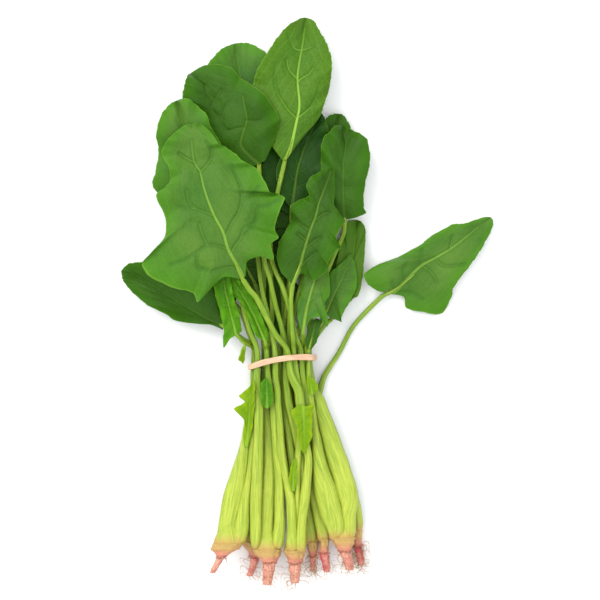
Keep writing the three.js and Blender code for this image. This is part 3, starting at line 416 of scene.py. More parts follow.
def make_piece(name, vertices, faces, layers, material, nodes):
    """A smooth mesh object from corners in millimetres, index arrays and named values on its corners.
    It rides with the bunch and stands for the named solids, which it hides."""
    mesh = bpy.data.meshes.new(name)
    lists = [face for group in faces for face in group.tolist()]
    mesh.from_pydata((vertices * MM).tolist(), [], lists)
    mesh.polygons.foreach_set("use_smooth", np.ones(len(mesh.polygons), bool))
    for key, values in layers.items():
        kind = "FLOAT_VECTOR" if values.ndim == 2 else "FLOAT"
        layer = mesh.attributes.new(key, kind, "POINT")
        layer.data.foreach_set("vector" if values.ndim == 2 else "value", values.astype(np.float32).ravel())
    mesh.materials.append(material)
    mesh.update()
    piece = bpy.data.objects.new(name, mesh)
    bpy.context.scene.collection.objects.link(piece)
    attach(piece, "root")
    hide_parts(*nodes)
    return piece


def grid_faces(rows, columns, wrap=False):
    """Four-cornered faces of a grid of corners numbered row by row. wrap joins its last column to its
    first."""
    across = columns if wrap else columns - 1
    r, c = np.meshgrid(np.arange(rows - 1), np.arange(across), indexing="ij")
    n = (c + 1) % columns
    quads = np.stack((r * columns + c, r * columns + n, (r + 1) * columns + n, (r + 1) * columns + c), -1)
    return quads.reshape(-1, 4)


def full_turn(count):
    """Directions evenly round a ring, in radians."""
    return np.linspace(0, 2 * np.pi, count, endpoint=False)


def travelled(path):
    """The distance along a path at each of its points."""
    return np.concatenate(([0], np.cumsum(np.linalg.norm(np.diff(path, axis=0), axis=1))))


def per_corner(values, sides):
    """What holds for each ring of a tube, for each of its corners and for both middle corners."""
    return np.concatenate((np.repeat(values, sides), values[[0, -1]]))


def tube(path, across, upward, sides, profile, facing=None, lowest=0.0):
    """A closed tube: rings of a profile carried along a path of points in millimetres. Each ring stands
    square to the path, or to the way that it is facing, with its side kept level. It is as wide as
    across and as high as upward, and a middle corner closes the tube at each end. profile gives how far
    out each direction reaches. No corner is under the lowest height, so the tube is flat where it would
    sink in. Returns corners, faces and the ring direction and distance along the path of each corner."""
    way = np.gradient(path, axis=0)
    if facing is not None:
        way[:] = facing
    way /= np.linalg.norm(way, axis=1)[:, None]
    side = np.column_stack((way[:, 1], -way[:, 0], np.zeros(len(path))))
    side /= np.linalg.norm(side, axis=1)[:, None]
    up = np.cross(side, way)
    angle = full_turn(sides)
    ring = (
        path[:, None, :]
        + side[:, None, :] * (across[:, None] * np.cos(angle) * profile)[..., None]
        + up[:, None, :] * (upward[:, None] * np.sin(angle) * profile)[..., None]
    )
    ring[..., 2] = np.maximum(ring[..., 2], lowest)
    count = len(path)
    vertices = np.concatenate((ring.reshape(-1, 3), path[:1], path[-1:]))
    k = np.arange(sides)
    first = np.column_stack((k, (k + 1) % sides, np.full(sides, count * sides)))
    top = (count - 1) * sides
    last = np.column_stack((top + (k + 1) % sides, top + k, np.full(sides, count * sides + 1)))
    around = np.concatenate((np.tile(angle, count), [0, 0]))
    covered = per_corner(travelled(path), sides)
    quads = grid_faces(count, sides, wrap=True)[:, ::-1]
    return vertices, [quads, first, last], around, covered


class Heap:
    """Gathers the corners, faces and corner values of several shapes for one piece."""

    def __init__(self):
        self.vertices, self.faces, self.layers, self.count = [], [], {}, 0

    def add(self, vertices, faces, layers):
        self.vertices.append(vertices)
        self.faces += [group + self.count for group in faces]
        for key, values in layers.items():
            self.layers.setdefault(key, []).append(values)
        self.count += len(vertices)

    def piece(self, name, material, nodes, slot):
        layers = {key: np.concatenate(values) for key, values in self.layers.items()}
        return make_piece(name, np.concatenate(self.vertices), self.faces, layers, material, nodes)


def outline(leaf):
    """The rib and both edges of a leaf in the plan, from its base to its tip."""
    if "rib" in leaf:
        return plan(leaf["rib"]), plan(leaf["left"]), plan(leaf["right"])
    base = np.array([plan_x(leaf["base"][0]), plan_y(leaf["base"][1])])
    tip = np.array([plan_x(leaf["tip"][0]), plan_y(leaf["tip"][1])])
    axis = tip - base
    across = np.array([-axis[1], axis[0]]) * leaf["width"]
    shape = np.array(PLAIN_LEAF)
    middle, reach = base + shape[:, :1] * axis, shape[:, 1:] * across
    return np.vstack((base, tip)), np.vstack((middle + reach, tip)), np.vstack((middle - reach, tip))


def coarse_blade(leaf):
    """The corners of the solid blade: rows from the left edge over the rib to the right edge, in the
    plan from the outline, and in height from the solid itself."""
    rib, left, right = outline(leaf)
    count = len(left)
    per_side = 2 if count > 7 else 1
    s = np.arange(count) / (count - 1)
    centre = along(rib, s ** leaf.get("power", 1))
    centre[-1] = left[-1]
    columns = np.arange(-per_side, per_side + 1)
    edge = np.where((columns < 0)[None, :, None], left[:, None, :], right[:, None, :])
    share = (np.abs(columns) / per_side)[None, :, None]
    flat = centre[:, None, :] * (1 - share) + edge * share
    heights = heights_at(node_corners(leaf["name"]), flat.reshape(-1, 2))
    heights = filled(heights).reshape(count, -1)
    return np.concatenate((flat, heights[..., None]), -1)


def name_number(leaf, limit):
    """A number under the limit, worked out from a leaf's name, so that each leaf waves in its own way."""
    return float(sum(map(ord, leaf["name"])) % limit)


def line_distance(lines, x, y):
    """Millimetres from each place in the plan to the nearest of some traced lines, each of which is a
    smooth curve through its points, taken as short straight pieces."""
    best = np.full(x.shape, NO_VEIN)
    for line in lines:
        points = plan(line)
        fine = smooth_rows(points, np.linspace(0, len(points) - 1, 6 * len(points)))
        for start, step in zip(fine[:-1], np.diff(fine, axis=0)):
            share = clamp(((x - start[0]) * step[0] + (y - start[1]) * step[1]) / (step @ step))
            best = np.minimum(best, np.hypot(x - start[0] - share * step[0], y - start[1] - share * step[1]))
    return best


def blade_surface(leaf, rows, columns, relief):
    """A leaf blade on a grid of way along the rib and place across it. The solid's corners are joined by
    smooth curves both ways. The edge then wavers a little in the plan. On top come the pillows between
    the side veins, the furrows of the veins and a ripple that grows towards the edge. The blade thins
    out to its edge, and its ribs stand out underneath. Returns corners, faces and corner values."""
    coarse = coarse_blade(leaf)
    seed = name_number(leaf, 17)
    places = np.linspace(0, len(coarse) - 1, rows)
    fine = smooth_rows(coarse, places, 0.75)
    spots = np.linspace(-1, 1, columns)
    middle = (coarse.shape[1] - 1) / 2
    surface = smooth_rows(np.swapaxes(fine, 0, 1), (spots + 1) * middle, 0.8)
    surface = np.swapaxes(surface, 0, 1)
    rib = surface[:, columns // 2, :2]
    way = travelled(rib)
    length = way[-1]
    t = np.abs(spots)[None, :]
    s = (np.arange(rows) / (rows - 1))[:, None]
    offset = surface[..., :2] - rib[:, None, :]
    distance = np.linalg.norm(offset, axis=-1)
    reach = distance[:, [0, -1]].max(1)[:, None]
    body = np.clip(4 * s, 0, 1) * np.clip(5 * (1 - s), 0, 1)
    sign = np.where(spots < 0, -1.0, 1.0)[None, :]
    # the edge wavers by a few tenths of a millimetre
    travel = s * 2.2 * length
    waver = 0.16 * np.sin(2 * np.pi * travel / 11.5 + seed + sign) + 0.1 * np.sin(
        2 * np.pi * travel / 5.3 + 2 * seed - sign
    )
    surface[..., :2] += offset / np.maximum(reach, 1)[..., None] * (waver * t**4 * body)[..., None]
    spacing = np.clip(0.15 * length, 4.5, 14.0)
    x, y = surface[..., 0], surface[..., 1]
    lean = 0.15 + 0.95 * s
    bend = 0.16 * wobble(x, y, 3.2 * spacing, seed)
    phase = (way[:, None] - lean * distance) / spacing + 0.5 * (sign > 0) + bend + 0.3
    bay = np.abs(np.sin(np.pi * phase)) ** 0.8
    rib_off, side_off = distance, np.full_like(x, NO_VEIN)
    if "veins" in leaf:
        lines = leaf["veins"]
        rib_off, side_off = line_distance(lines[:1], x, y), line_distance(lines[1:], x, y)
        phase = np.full_like(x, 0.5)
        bay = 1 - np.exp(-((np.minimum(side_off, rib_off) / (0.36 * spacing)) ** 2))
    small = (distance + 0.5 * way[:, None]) / (0.42 * spacing)
    small = small + 0.25 * wobble(x, y, 1.5 * spacing, seed + 3)
    pillow = relief * 0.075 * spacing * (bay - 0.25) * np.clip(4 * t, 0, 1) * (1 - t**6) * body
    pillow += relief * 0.018 * spacing * (np.abs(np.sin(np.pi * small)) - 0.4) * bay * (1 - t**4) * body
    long_wave = np.sin(2 * np.pi * travel / 23 + 1.5 * sign + seed)
    short_wave = np.sin(2 * np.pi * travel / 10.3 + seed)
    edge_wave = relief * 0.45 * t**3 * body * (1 + long_wave + 0.35 * short_wave)
    lumps = relief * 0.35 * (1 + wobble(x, y, 11, seed + 1)) * np.clip(2 * t, 0, 1) * body
    furrow = (0.5 * np.clip(4 * s, 0, 1) - 0.25) * np.exp(-((rib_off / 0.9) ** 2))
    furrow = furrow * np.clip(3 * (1 - s), 0, 1)
    furrow = furrow + 0.6 * relief * np.exp(-((side_off / 0.95) ** 2)) * (1 - t**4)
    lift = pillow + edge_wave + lumps
    half = BLADE_THICKNESS / 2 * (1 - 0.62 * t**5)
    keel = 0.5 * np.exp(-((rib_off / 1.0) ** 2)) * (1 - s) * np.clip(6 * s, 0, 1)
    upper = surface.copy()
    upper[..., 2] += half + lift - furrow
    lower = surface.copy()
    lower[..., 2] += lift - half - keel
    lower[..., 2] = np.maximum(lower[..., 2], 0.05)
    upper[..., 2] = np.maximum(upper[..., 2], lower[..., 2] + 0.2)
    tone = 0.5 + 0.5 * wobble(x, y, 38, seed + 5)
    return sheet(
        upper, lower, blade=(phase, rib_off, t), blade_fine=(small, spacing, tone), onward=s,
        side_off=side_off, vein_share=leaf.get("vein_share", PLAIN_VEIN_SHARE),
    )


def wing_surface(line, halves, height, rows=70, columns=25):
    """The narrow wings in which a blade runs on down both sides of its stalk: a thin sheet that follows
    a line in the plan, given from the blade downwards, with a half width at each of its points. It hangs
    a little lower towards its edges, which ripple, and ends in a point on the stalk."""
    places = np.linspace(0, len(halves) - 1, rows)
    centre = smooth_rows(plan(line), places, 0.8)
    half = smooth_rows(np.array(halves, float) * PIXEL, places, 0.8)[:, None]
    spots = np.linspace(1, -1, columns)[None, :]
    run = (plan_y(0) - centre[:, 1:]) / PIXEL
    half = half * (1 + 0.1 * np.sin(run / 3.1 + np.sign(spots)) + 0.05 * np.sin(run / 1.3))
    x = centre[:, :1] + half * spots
    y = centre[:, 1:] + 1.2 * np.abs(spots) ** 1.5 * half / half.max() + 0 * x
    z = height - 0.8 * spots**2 + 0.35 * spots**2 * np.sin(run / 4.3 + 2 * spots)
    z = np.maximum(z + 0.15 * wobble(x, y, 9, 4.0), 0.5)
    x[-1], y[-1], z[-1] = x[-1].mean(), y[-1].mean(), height
    middle = np.stack((x, y, z), -1)
    thin = np.stack((0 * x, 0 * x, 0.28 - 0.12 * spots**4 + 0 * x), -1)
    t = np.abs(spots)
    return sheet(
        middle + thin, middle - thin, blade=(0.5, t * half, t), blade_fine=(run / 6 + t, 6.0, 0.4),
        onward=0.0, side_off=NO_VEIN, vein_share=0.3,
    )


def closed_sheet(rows, columns):
    """Faces of two like grids joined round their edges. The last row of each is one point, the leaf's
    tip, so its corners are welded to the first of them. Returns which corners are used, and the faces."""
    grid = rows * columns
    numbering = np.arange(grid).reshape(rows, columns)
    numbering[-1, :] = numbering[-1, 0]
    quads = grid_faces(rows - 1, columns)
    tips = np.column_stack((numbering[-2, :-1], numbering[-2, 1:], np.full(columns - 1, numbering[-1, 0])))
    rim = np.concatenate((numbering[0], numbering[1:-1, -1], numbering[-1, :1], numbering[-2:0:-1, 0]))
    following = np.roll(rim, -1)
    wall = np.column_stack((rim + grid, following + grid, following, rim))
    faces = [quads, tips, quads[:, ::-1] + grid, tips[:, ::-1] + grid, wall]
    used = np.zeros(2 * grid, bool)
    for group in faces:
        used[group.ravel()] = True
    place = np.cumsum(used) - 1
    return used, [place[group] for group in faces]


def sheet(upper, lower, **values):
    """A closed sheet between an upper and a lower grid of corners, both of which carry the same values.
    Each of these is a grid or a number, or three of them. under tells the sides apart."""
    rows, columns = upper.shape[:2]
    used, faces = closed_sheet(rows, columns)

    def both(grid):
        return np.tile(np.broadcast_to(grid, (rows, columns)).ravel(), 2)[used]

    layers = {
        key: np.column_stack([both(grid) for grid in value]) if isinstance(value, tuple) else both(value)
        for key, value in values.items()
    }
    layers["under"] = np.repeat([0.0, 1.0], rows * columns)[used]
    return np.vstack((upper.reshape(-1, 3), lower.reshape(-1, 3)))[used], faces, layers


def clamp(values):
    """The values, held between 0 and 1."""
    return np.minimum(np.maximum(values, 0.0), 1.0)


def spread(y):
    """How far a stalk still is from its place at the band (0) on its way to the crown (1)."""
    return clamp((np.asarray(y, float) - BAND_LOW_Y) / (SPREAD_Y - BAND_LOW_Y)) ** 1.35


def crown_top(plant):
    """The level in pixels where the stalks go into the crown."""
    return plant["bottom"] - CROWN_LENGTH


def stalk_radius(leaf):
    """Half the width of a stalk at the band, which is the same for most."""
    return leaf.get("radius", STALK_RADIUS)


def lower_stalk(leaf):
    """The corners of a stalk's path below the band, from inside its crown to its slot, and its half width."""
    plant = PLANTS[leaf["plant"] - 1]
    slot_x, slot_z = leaf["slot"]
    middle = FRONT_SLOTS_HEIGHT if plant["height"] == FRONT_CROWN_HEIGHT else REAR_SLOTS_HEIGHT
    crown_z = plant["height"] + 0.45 * (slot_z - middle)
    if "track" in leaf:
        x, y, half = numbers(leaf["track"]).T
    else:
        y = np.array(STALK_LEVELS, float)
        x = slot_x + (leaf["crown"] - slot_x) * spread(y)
        near = clamp((y - BAND_LOW_Y) * PIXEL / 70)
        half = (stalk_radius(leaf) * (1 - near) + leaf.get("foot", REAR_FOOT) * near) / PIXEL
    z = slot_z + (crown_z - slot_z) * spread(y)
    path = np.column_stack((plan_x(x), plan_y(np.minimum(y, crown_top(plant) - 2)), z))
    path[0, 1] -= 1.5
    return (path[:-3], half[:-3] * PIXEL) if leaf.get("loose") else (path, half * PIXEL)


def stalk_path(leaf):
    """The whole path of a stalk from its crown to its blade, its half width, and its half height. Above
    the band the plan is that of the solid stalk, and the height is read from the sides of its rings."""
    lower, half = lower_stalk(leaf)
    radius = stalk_radius(leaf)
    slot_x = leaf["slot"][0]
    line = [] if leaf.get("loose") else [[plan_x(slot_x), plan_y(BAND_TOP_Y)]]
    line = np.array(line + plan(leaf["via"]).tolist())
    base = coarse_blade(leaf)[0]
    end = base[len(base) // 2, :2]
    gap = line[-1] - end
    end = end + gap * min(0.5, (GAP + 1.1) / np.linalg.norm(gap))
    line = np.vstack((line, end))
    path = np.vstack((lower[:, :2], line))
    count = len(path)
    across = radius * (1 - 0.3 * np.arange(count) / (count - 1))
    across[: len(half)] = half
    way = np.vstack((path[1:2] - path[:1], path[2:] - path[:-2], path[-1:] - path[-2:-1]))
    way /= np.linalg.norm(way, axis=1)[:, None]
    side = np.column_stack((way[:, 1], -way[:, 0])) * across[:, None]
    corners = node_corners("plant_%d_stems" % leaf["plant"])
    both = np.column_stack((heights_at(corners, path + side), heights_at(corners, path - side)))
    z = np.where(np.isfinite(both[:, 0]), both[:, 0], both[:, 1])
    z[: len(lower)] = lower[:, 2]
    path = np.column_stack((path, filled(z)))
    upward = np.minimum(across, radius * 1.15)
    # below the band the stalks press against each other, and near the crown they are thicker
    foot = clamp((plan_y(BAND_LOW_Y) - path[:, 1]) / 60)
    upward = upward + np.minimum(0.5 * across, 1.5) * foot
    across = across * (1 + 0.25 * clamp(4 * foot))
    # its end runs on into the rib of the blade, on top of it
    blade = coarse_blade(leaf)
    rib = blade[:3, blade.shape[1] // 2]
    sunk = -1.0 if leaf.get("vein_share", PLAIN_VEIN_SHARE) < FAINT_VEINS else 1.0
    rise = sunk * np.array([0.1, 0.35, 0.25])[:, None] * np.array([[0, 0, 1]])
    path = np.vstack((path, rib + rise))
    across = np.concatenate((across, across[-1] * np.array([0.8, 0.5, 0.2])))
    upward = np.concatenate((upward, upward[-1] * np.array([0.7, 0.4, 0.2])))
    return path, across, upward


def stalk_layers(vertices, around, reach, covered, crown_y, shade):
    """What the stalk material reads: millimetres round the stalk, along it and from the crown, a shade,
    and how far up on its side a corner is."""
    return {
        "stalk": np.column_stack((around * reach, covered, vertices[:, 1] - crown_y)),
        "shade": np.full(len(vertices), shade),
        "upper": np.sin(around),
    }


def stalk_surface(leaf, crown_y, sides):
    """A leaf stalk: a tube along a smooth path, wider than high at its foot. Its section has a channel
    along the top and shallow ribs all round, and the stalk swells and thins a little on its way."""
    path, across, upward = stalk_path(leaf)
    steps = np.linalg.norm(np.diff(path, axis=0), axis=1)
    counts = [max(2, int(step / RING_STEP)) for step in steps]
    places = [i + np.linspace(0, 1, count, endpoint=False) for i, count in enumerate(counts)]
    places = np.concatenate(places + [[len(path) - 1]])
    fine = smooth_rows(path, places)
    wide, high = smooth_rows(across, places), smooth_rows(upward, places)
    seed = name_number(leaf, 13)
    angle = full_turn(sides)[None, :]
    run = travelled(fine)[:, None]
    flat = clamp((wide / high - 0.9) / 1.2)[:, None]
    channel = (0.10 + 0.16 * flat) * np.exp(-(((angle + np.pi / 2) % (2 * np.pi) - np.pi) / 0.5) ** 2)
    ribs = 0.026 * np.cos(11 * angle + seed + run / 40) + 0.03 * np.sin(angle + run / 21 + seed)
    swell = 0.035 * np.sin(run / 9 + seed) + 0.02 * np.sin(run / 3.7)
    profile = 1 - channel + ribs + swell
    profile[-1] *= 0.6
    profile[-2] *= 0.9
    profile[:3] *= np.array([[0.5], [0.8], [0.94]])
    vertices, faces, around, covered = tube(fine, wide, high, sides, profile, lowest=0.08)
    reach = per_corner(wide, sides)
    return vertices, faces, stalk_layers(vertices, around, reach, covered, crown_y, (seed % 5) / 5)


def petiole_surface(leaf, carrier, crown_y, sides=14):
    """The short stalk of a small leaf: a thin tube out of another leaf's stalk and on into the small
    leaf's rib."""
    blade = coarse_blade(leaf)
    rib = blade[:3, blade.shape[1] // 2]
    stalk = stalk_path(carrier)[0]
    start = stalk[np.linalg.norm(stalk[:, :2] - rib[0, :2], axis=1).argmin()]
    path = np.vstack((start, 0.45 * start + 0.55 * rib[0], rib + (0, 0, 0.3)))
    places = np.linspace(0, 4, 30)
    across = smooth_rows(np.array([0.8, 0.7, 0.62, 0.4, 0.2]), places)
    round_profile = np.ones((len(places), sides))
    path = smooth_rows(path, places)
    vertices, faces, around, covered = tube(path, across, across, sides, round_profile, lowest=0.08)
    return vertices, faces, stalk_layers(vertices, around, 0.6, covered, crown_y, 0.4)


def crown_surface(plant, sides=64):
    """A crown: rings along the plant's axis that close round the feet of its stalks, swell and draw in
    to the root. Grooves run down it where one stalk foot clasps the next. Its upper side is lower than
    its under side, so that the feet lie on it. It is one closed tube."""
    top = crown_top(plant)
    # levels in the plan from the stalks down to the root, with the share of the full width at each
    levels = np.array([[top - 24, 0.22], [top - 15, 0.6], [top - 7, 0.86], [top - 1, 0.94], [top + 4, 0.74]])
    places = np.linspace(0, 4, 34)
    rows = smooth_rows(levels, places)
    y = plan_y(rows[:, 0])
    path = np.column_stack((np.full(len(y), plan_x(plant["x"])), y, np.full(len(y), plant["height"])))
    wide, high = plant["half"] * PIXEL * rows[:, 1], CROWN_HALF_HEIGHT * rows[:, 1]
    angle = full_turn(sides)[None, :]
    turn = plant["x"]
    groove = -0.09 * np.abs(np.cos(2.5 * angle + turn + 0.02 * (y[:, None] - y[0]))) ** 6
    profile = 1 + groove + 0.012 * np.cos(17 * angle + turn)
    vertices, faces, around, covered = tube(path, wide, high, sides, profile, (0, -1, 0))
    over = vertices[:, 2] - plant["height"]
    vertices[:, 2] -= np.maximum(over, 0) * (0.35 + 0.2 * clamp((vertices[:, 1] - plan_y(top)) / 8))
    reach = plant["half"] * PIXEL
    return vertices, faces, stalk_layers(vertices, around, reach, covered, plan_y(top), 0.4)


def root_path(plant):
    """The path of a root from inside its crown to its cut end, and its half widths and heights."""
    root = plan(plant["root"])
    height, thick = plant["height"], plant["thick"]
    wide = plant["half"] * PIXEL
    top = np.array([plan_x(plant["x"]), plan_y(crown_top(plant) - 2)])
    start = root[0]
    flat = np.vstack((top, (top + start) / 2, start - (0, 1), root[1], root[-1]))
    z = np.array([height] * 4 + [height * 0.97])
    across = np.array([wide * 0.97, wide * 0.8, thick * 1.2, thick, thick * 0.75])
    upward = np.array([CROWN_HALF_HEIGHT * 0.8, CROWN_HALF_HEIGHT * 0.66, thick * 1.15, thick, thick * 0.75])
    return np.column_stack((flat, z)), across, upward


def root_surface(plant, index, rows=70, sides=40):
    """A root stub: a tube from the crown to the cut end. Rings of skin bulge where rootlets sprouted,
    and the end is cut across with a slightly sunken middle."""
    path, across, upward = root_path(plant)
    places = np.linspace(0, 4, rows)
    fine = smooth_rows(path, places)
    wide, high = smooth_rows(across, places, 0.7), smooth_rows(upward, places, 0.7)
    angle = full_turn(sides)[None, :]
    run = np.arange(rows)[:, None] / (rows - 1)
    rings = 0.04 * np.sin(31 * run + 0.8 * np.sin(angle + index)) * clamp(3 * run)
    knobs = 0.05 * np.sin(3 * angle + 5 * run + index) + 0.035 * np.sin(7 * angle - 19 * run)
    folds = 0.05 * np.cos(9 * angle + index + 0.6 * np.sin(2 * angle)) * clamp(2.4 - 5 * run)
    profile = 1 + rings + knobs + folds
    fine[-1] -= (fine[-1] - fine[-3]) * 0.6
    profile[-1] *= 0.55
    profile[-2] *= 0.97
    vertices, faces, around, covered = tube(fine, wide, high, sides, profile, (0, -1, 0), lowest=0.04)
    # what the material reads: round the root, up from its narrow start, and the share along it
    above = per_corner(fine[:, 1], sides) - path[2, 1]
    layers = {
        "root": np.column_stack((around * 3, above, covered / covered.max())),
        "tint": np.full(len(vertices), plant["redness"]),
        "hair": np.zeros(len(vertices)),
    }
    return vertices, faces, layers


def strands(starts, directions, lengths, thickness, curl, seed, hairiness, rings):
    """Fine closed threads: each runs from its start along its direction, sags and curls in two slow
    waves square to it, and thins out to its end. thickness is its radius at the start. All of them are
    worked out in one array."""
    rng = np.random.default_rng(seed)
    count, sides = len(starts), 3
    u = np.linspace(0, 1, rings)[None, :, None]
    directions = directions / np.linalg.norm(directions, axis=1)[:, None]
    one = np.cross(directions, (0.31, 0.22, 0.92))
    one /= np.linalg.norm(one, axis=1)[:, None]
    two = np.cross(directions, one)
    turn = rng.uniform(0, 2 * np.pi, (count, 1, 1))
    size = lengths[:, None, None]
    path = starts[:, None, :] + directions[:, None, :] * size * u
    path = path + one[:, None, :] * size * curl * (np.sin(5.6 * u + turn) - np.sin(turn))
    path = path + two[:, None, :] * size * curl * 0.8 * (np.cos(4.1 * u + 2 * turn) - np.cos(2 * turn))
    path[..., 2] = np.maximum(path[..., 2], 0.25)
    angle = (2 * np.pi * np.arange(sides) / sides)[None, None, :, None]
    radius = thickness * (1 - 0.75 * u[:, :, :, None])
    ring = path[:, :, None, :] + radius * (
        one[:, None, None, :] * np.cos(angle) + two[:, None, None, :] * np.sin(angle)
    )
    ring[..., 2] = np.maximum(ring[..., 2], 0.02)
    block = rings * sides
    body = grid_faces(rings, sides, wrap=True)
    ends = np.array([[2, 1, 0], [block - 3, block - 2, block - 1]])
    first = np.arange(count)[:, None, None] * block
    faces = [(body[None] + first).reshape(-1, 4), (ends[None] + first).reshape(-1, 3)]
    share = np.broadcast_to(0.4 + 0.5 * u, (count, rings, sides)).ravel()
    layers = {
        "root": np.column_stack((np.zeros(count * block), np.full(count * block, -9.0), share)),
        "tint": np.full(count * block, 0.2),
        "hair": np.full(count * block, hairiness),
    }
    return ring.reshape(-1, 3), faces, layers


def outwards(angle):
    """Directions square to the length of the bunch."""
    return np.column_stack((np.cos(angle), np.zeros(len(angle)), np.sin(angle)))


def root_hairs(plant, index, count, longest):
    """Starts, directions and lengths of the fine hairs: they sprout round the lower part of the root,
    outwards and backwards."""
    rng = np.random.default_rng(40 + index)
    path, across, upward = root_path(plant)
    places = rng.uniform(1.9, 3.95, count)
    centre = smooth_rows(path, places)
    wide, high = smooth_rows(across, places), smooth_rows(upward, places)
    out = outwards(rng.uniform(0, 2 * np.pi, count))
    starts = centre + out * np.column_stack((wide, wide, high)) * 0.85
    sideways = rng.normal(0, 0.25, count)
    backwards = -rng.uniform(0.3, 1.5, count)
    back = np.column_stack((sideways, backwards, rng.normal(0, 0.2, count)))
    return starts, out + back, longest * rng.uniform(0.25, 1, count) ** 1.5


def dry_scales(plant, index, count=26):
    """Starts, directions and lengths of the dry scales that stand off all round where the crown ends."""
    rng = np.random.default_rng(20 + index)
    path, across, upward = root_path(plant)
    out = outwards((np.arange(count) + rng.uniform(-0.4, 0.4, count)) * 2 * np.pi / count)
    starts = path[2] + (0, 0.4, 0) + out * (across[2], 0, upward[2]) * 0.93
    lean = np.column_stack((np.zeros(count), rng.uniform(-1.4, 0.5, count), rng.normal(0, 0.2, count)))
    return starts, out + lean, rng.uniform(0.7, 2.4, count)


def rootlets(plant, index):
    """The four stouter side roots of the solid root, as starts, directions and lengths."""
    path = root_path(plant)[0]
    k = np.arange(4)
    turn = (index * 2.4 + k * 1.7) % (2 * np.pi)
    starts = path[2 + k % 2]
    lean = np.column_stack((np.cos(turn), np.full(4, -1.1), 0.5 * np.sin(turn)))
    return starts, lean, 6.0 + (index * 3 + k * 5) % 5


def band_surface():
    """The rubber band: for each direction round the bunch it passes the stalk that stands out furthest,
    a fixed distance off, so it is straight between them. Its section is a flat strip with round edges."""
    slots = []
    for leaf in LEAVES:
        if "slot" in leaf and not leaf.get("loose"):
            path = lower_stalk(leaf)[0]
            slots.append([path[-1, 0], path[-1, 2], stalk_radius(leaf)])
    slots = np.array(slots)
    angle = full_turn(BAND_DIRECTIONS)
    out = np.column_stack((np.cos(angle), np.sin(angle)))
    reach = out @ slots[:, :2].T + slots[:, 2]
    best = slots[reach.argmax(1)]
    middle = best[:, :2] + out * (best[:, 2:] + GAP + BAND_THICKNESS / 2)
    loop = np.vstack((middle, middle[:1]))
    covered = travelled(loop)
    even = np.linspace(0, covered[-1], BAND_SECTIONS, endpoint=False)
    x, z, out_x, out_z = (np.interp(even, covered, np.append(v, v[0])) for v in (*middle.T, *out.T))
    size = np.hypot(out_x, out_z)
    out_x, out_z = out_x / size, out_z / size
    u = (2 * x - x.max() - x.min()) / (x.max() - x.min())
    arch = np.where(out_z > 0, *BAND_ARCH) * PIXEL * (1 - u**2)
    y = plan_y(BAND_MIDDLE[1]) + BAND_SLOPE * (x - plan_x(BAND_MIDDLE[0])) + arch
    turn = full_turn(BAND_SIDES)
    flat = np.sign(np.cos(turn)) * np.abs(np.cos(turn)) ** 0.45
    thick = np.sign(np.sin(turn)) * np.abs(np.sin(turn)) ** 0.6
    narrow = 1 + 0.05 * np.sin(even / 5.3) + 0.03 * np.sin(even / 1.9)
    dip = BAND_THICKNESS / 2 * thick * (1 + 0.06 * np.sin(even / 3.1))[:, None]
    ring_y = y[:, None] + BAND_WIDTH / 2 * flat * narrow[:, None] + 0.12 * np.sin(even / 7)[:, None]
    ring_x = x[:, None] + out_x[:, None] * dip
    ring_z = np.maximum(z[:, None] + out_z[:, None] * dip, 0.1)
    vertices = np.stack((ring_x, ring_y, ring_z), -1).reshape(-1, 3)
    k = np.arange(BAND_SECTIONS * BAND_SIDES).reshape(BAND_SECTIONS, BAND_SIDES)
    after, beside = np.roll(k, -1, 0), np.roll(k, -1, 1)
    faces = [np.stack((k, after, np.roll(after, -1, 1), beside), -1).reshape(-1, 4)]
    section = np.tile(np.column_stack((flat, thick)), (BAND_SECTIONS, 1))
    return vertices, faces, {"band": np.column_stack((np.repeat(even, BAND_SIDES), section))}


def linear(code):
    """A "#rrggbb" sRGB colour as linear red, green, blue and full opacity."""
    parts = np.array([int(code[i : i + 2], 16) for i in (1, 3, 5)]) / 255
    lit = np.where(parts <= 0.04045, parts / 12.92, ((parts + 0.055) / 1.055) ** 2.4)
    return (*lit.tolist(), 1.0)


# What the nodes used most are set to: sums and products, the smaller and the larger of two, a smooth fade
# (the range it fades over, then what it gives at both ends), a mix of two colours, noise and bump.
PLUS, TIMES = {"operation": "ADD"}, {"operation": "MULTIPLY"}
LEAST, MOST = {"operation": "MINIMUM"}, {"operation": "MAXIMUM"}
FADE = {"interpolation_type": "SMOOTHSTEP"}
MIX = {"at": (0, 6, 7), "out": 2, "data_type": "RGBA"}
NOISE = {"at": ("Vector", "Scale", "Detail")}
BUMP = {"at": ("Height", "Strength", "Distance")}


def add(tree, kind, *inputs, at=None, out=0, **settings):
    """Adds one shader node with its settings and returns one of its outputs. Each input is a value or
    the output that feeds it. They go to the node's first sockets, or to those that at names."""
    node = tree.nodes.new("ShaderNode" + kind)
    for key, value in settings.items():
        setattr(node, key, value)
    for place, value in zip(at or range(len(inputs)), inputs):
        if isinstance(value, bpy.types.NodeSocket):
            tree.links.new(value, node.inputs[place])
        else:
            node.inputs[place].default_value = value
    return node.outputs[out] if node.outputs else None


def blank(name):
    """A material without nodes, and the function that adds them to it."""
    material = bpy.data.materials.new(name)
    material.use_nodes = True
    material.node_tree.nodes.clear()
    return material, partial(add, material.node_tree)


def finished(material, new, color, roughness, normal=None, **constants):
    """The material with its surface: colour, roughness, bump and what is the same all over."""
    shader = new("BsdfPrincipled", color, roughness, at=("Base Color", "Roughness")).node
    if normal is not None:
        material.node_tree.links.new(normal, shader.inputs["Normal"])
    for key, value in constants.items():
        shader.inputs[key.replace("_", " ")].default_value = value
    new("OutputMaterial", shader.outputs[0])
    return material


def carried(new, name):
    """The three values that a piece carries on its corners under a name."""
    return new("SeparateXYZ", new("Attribute", out="Vector", attribute_name=name)).node.outputs


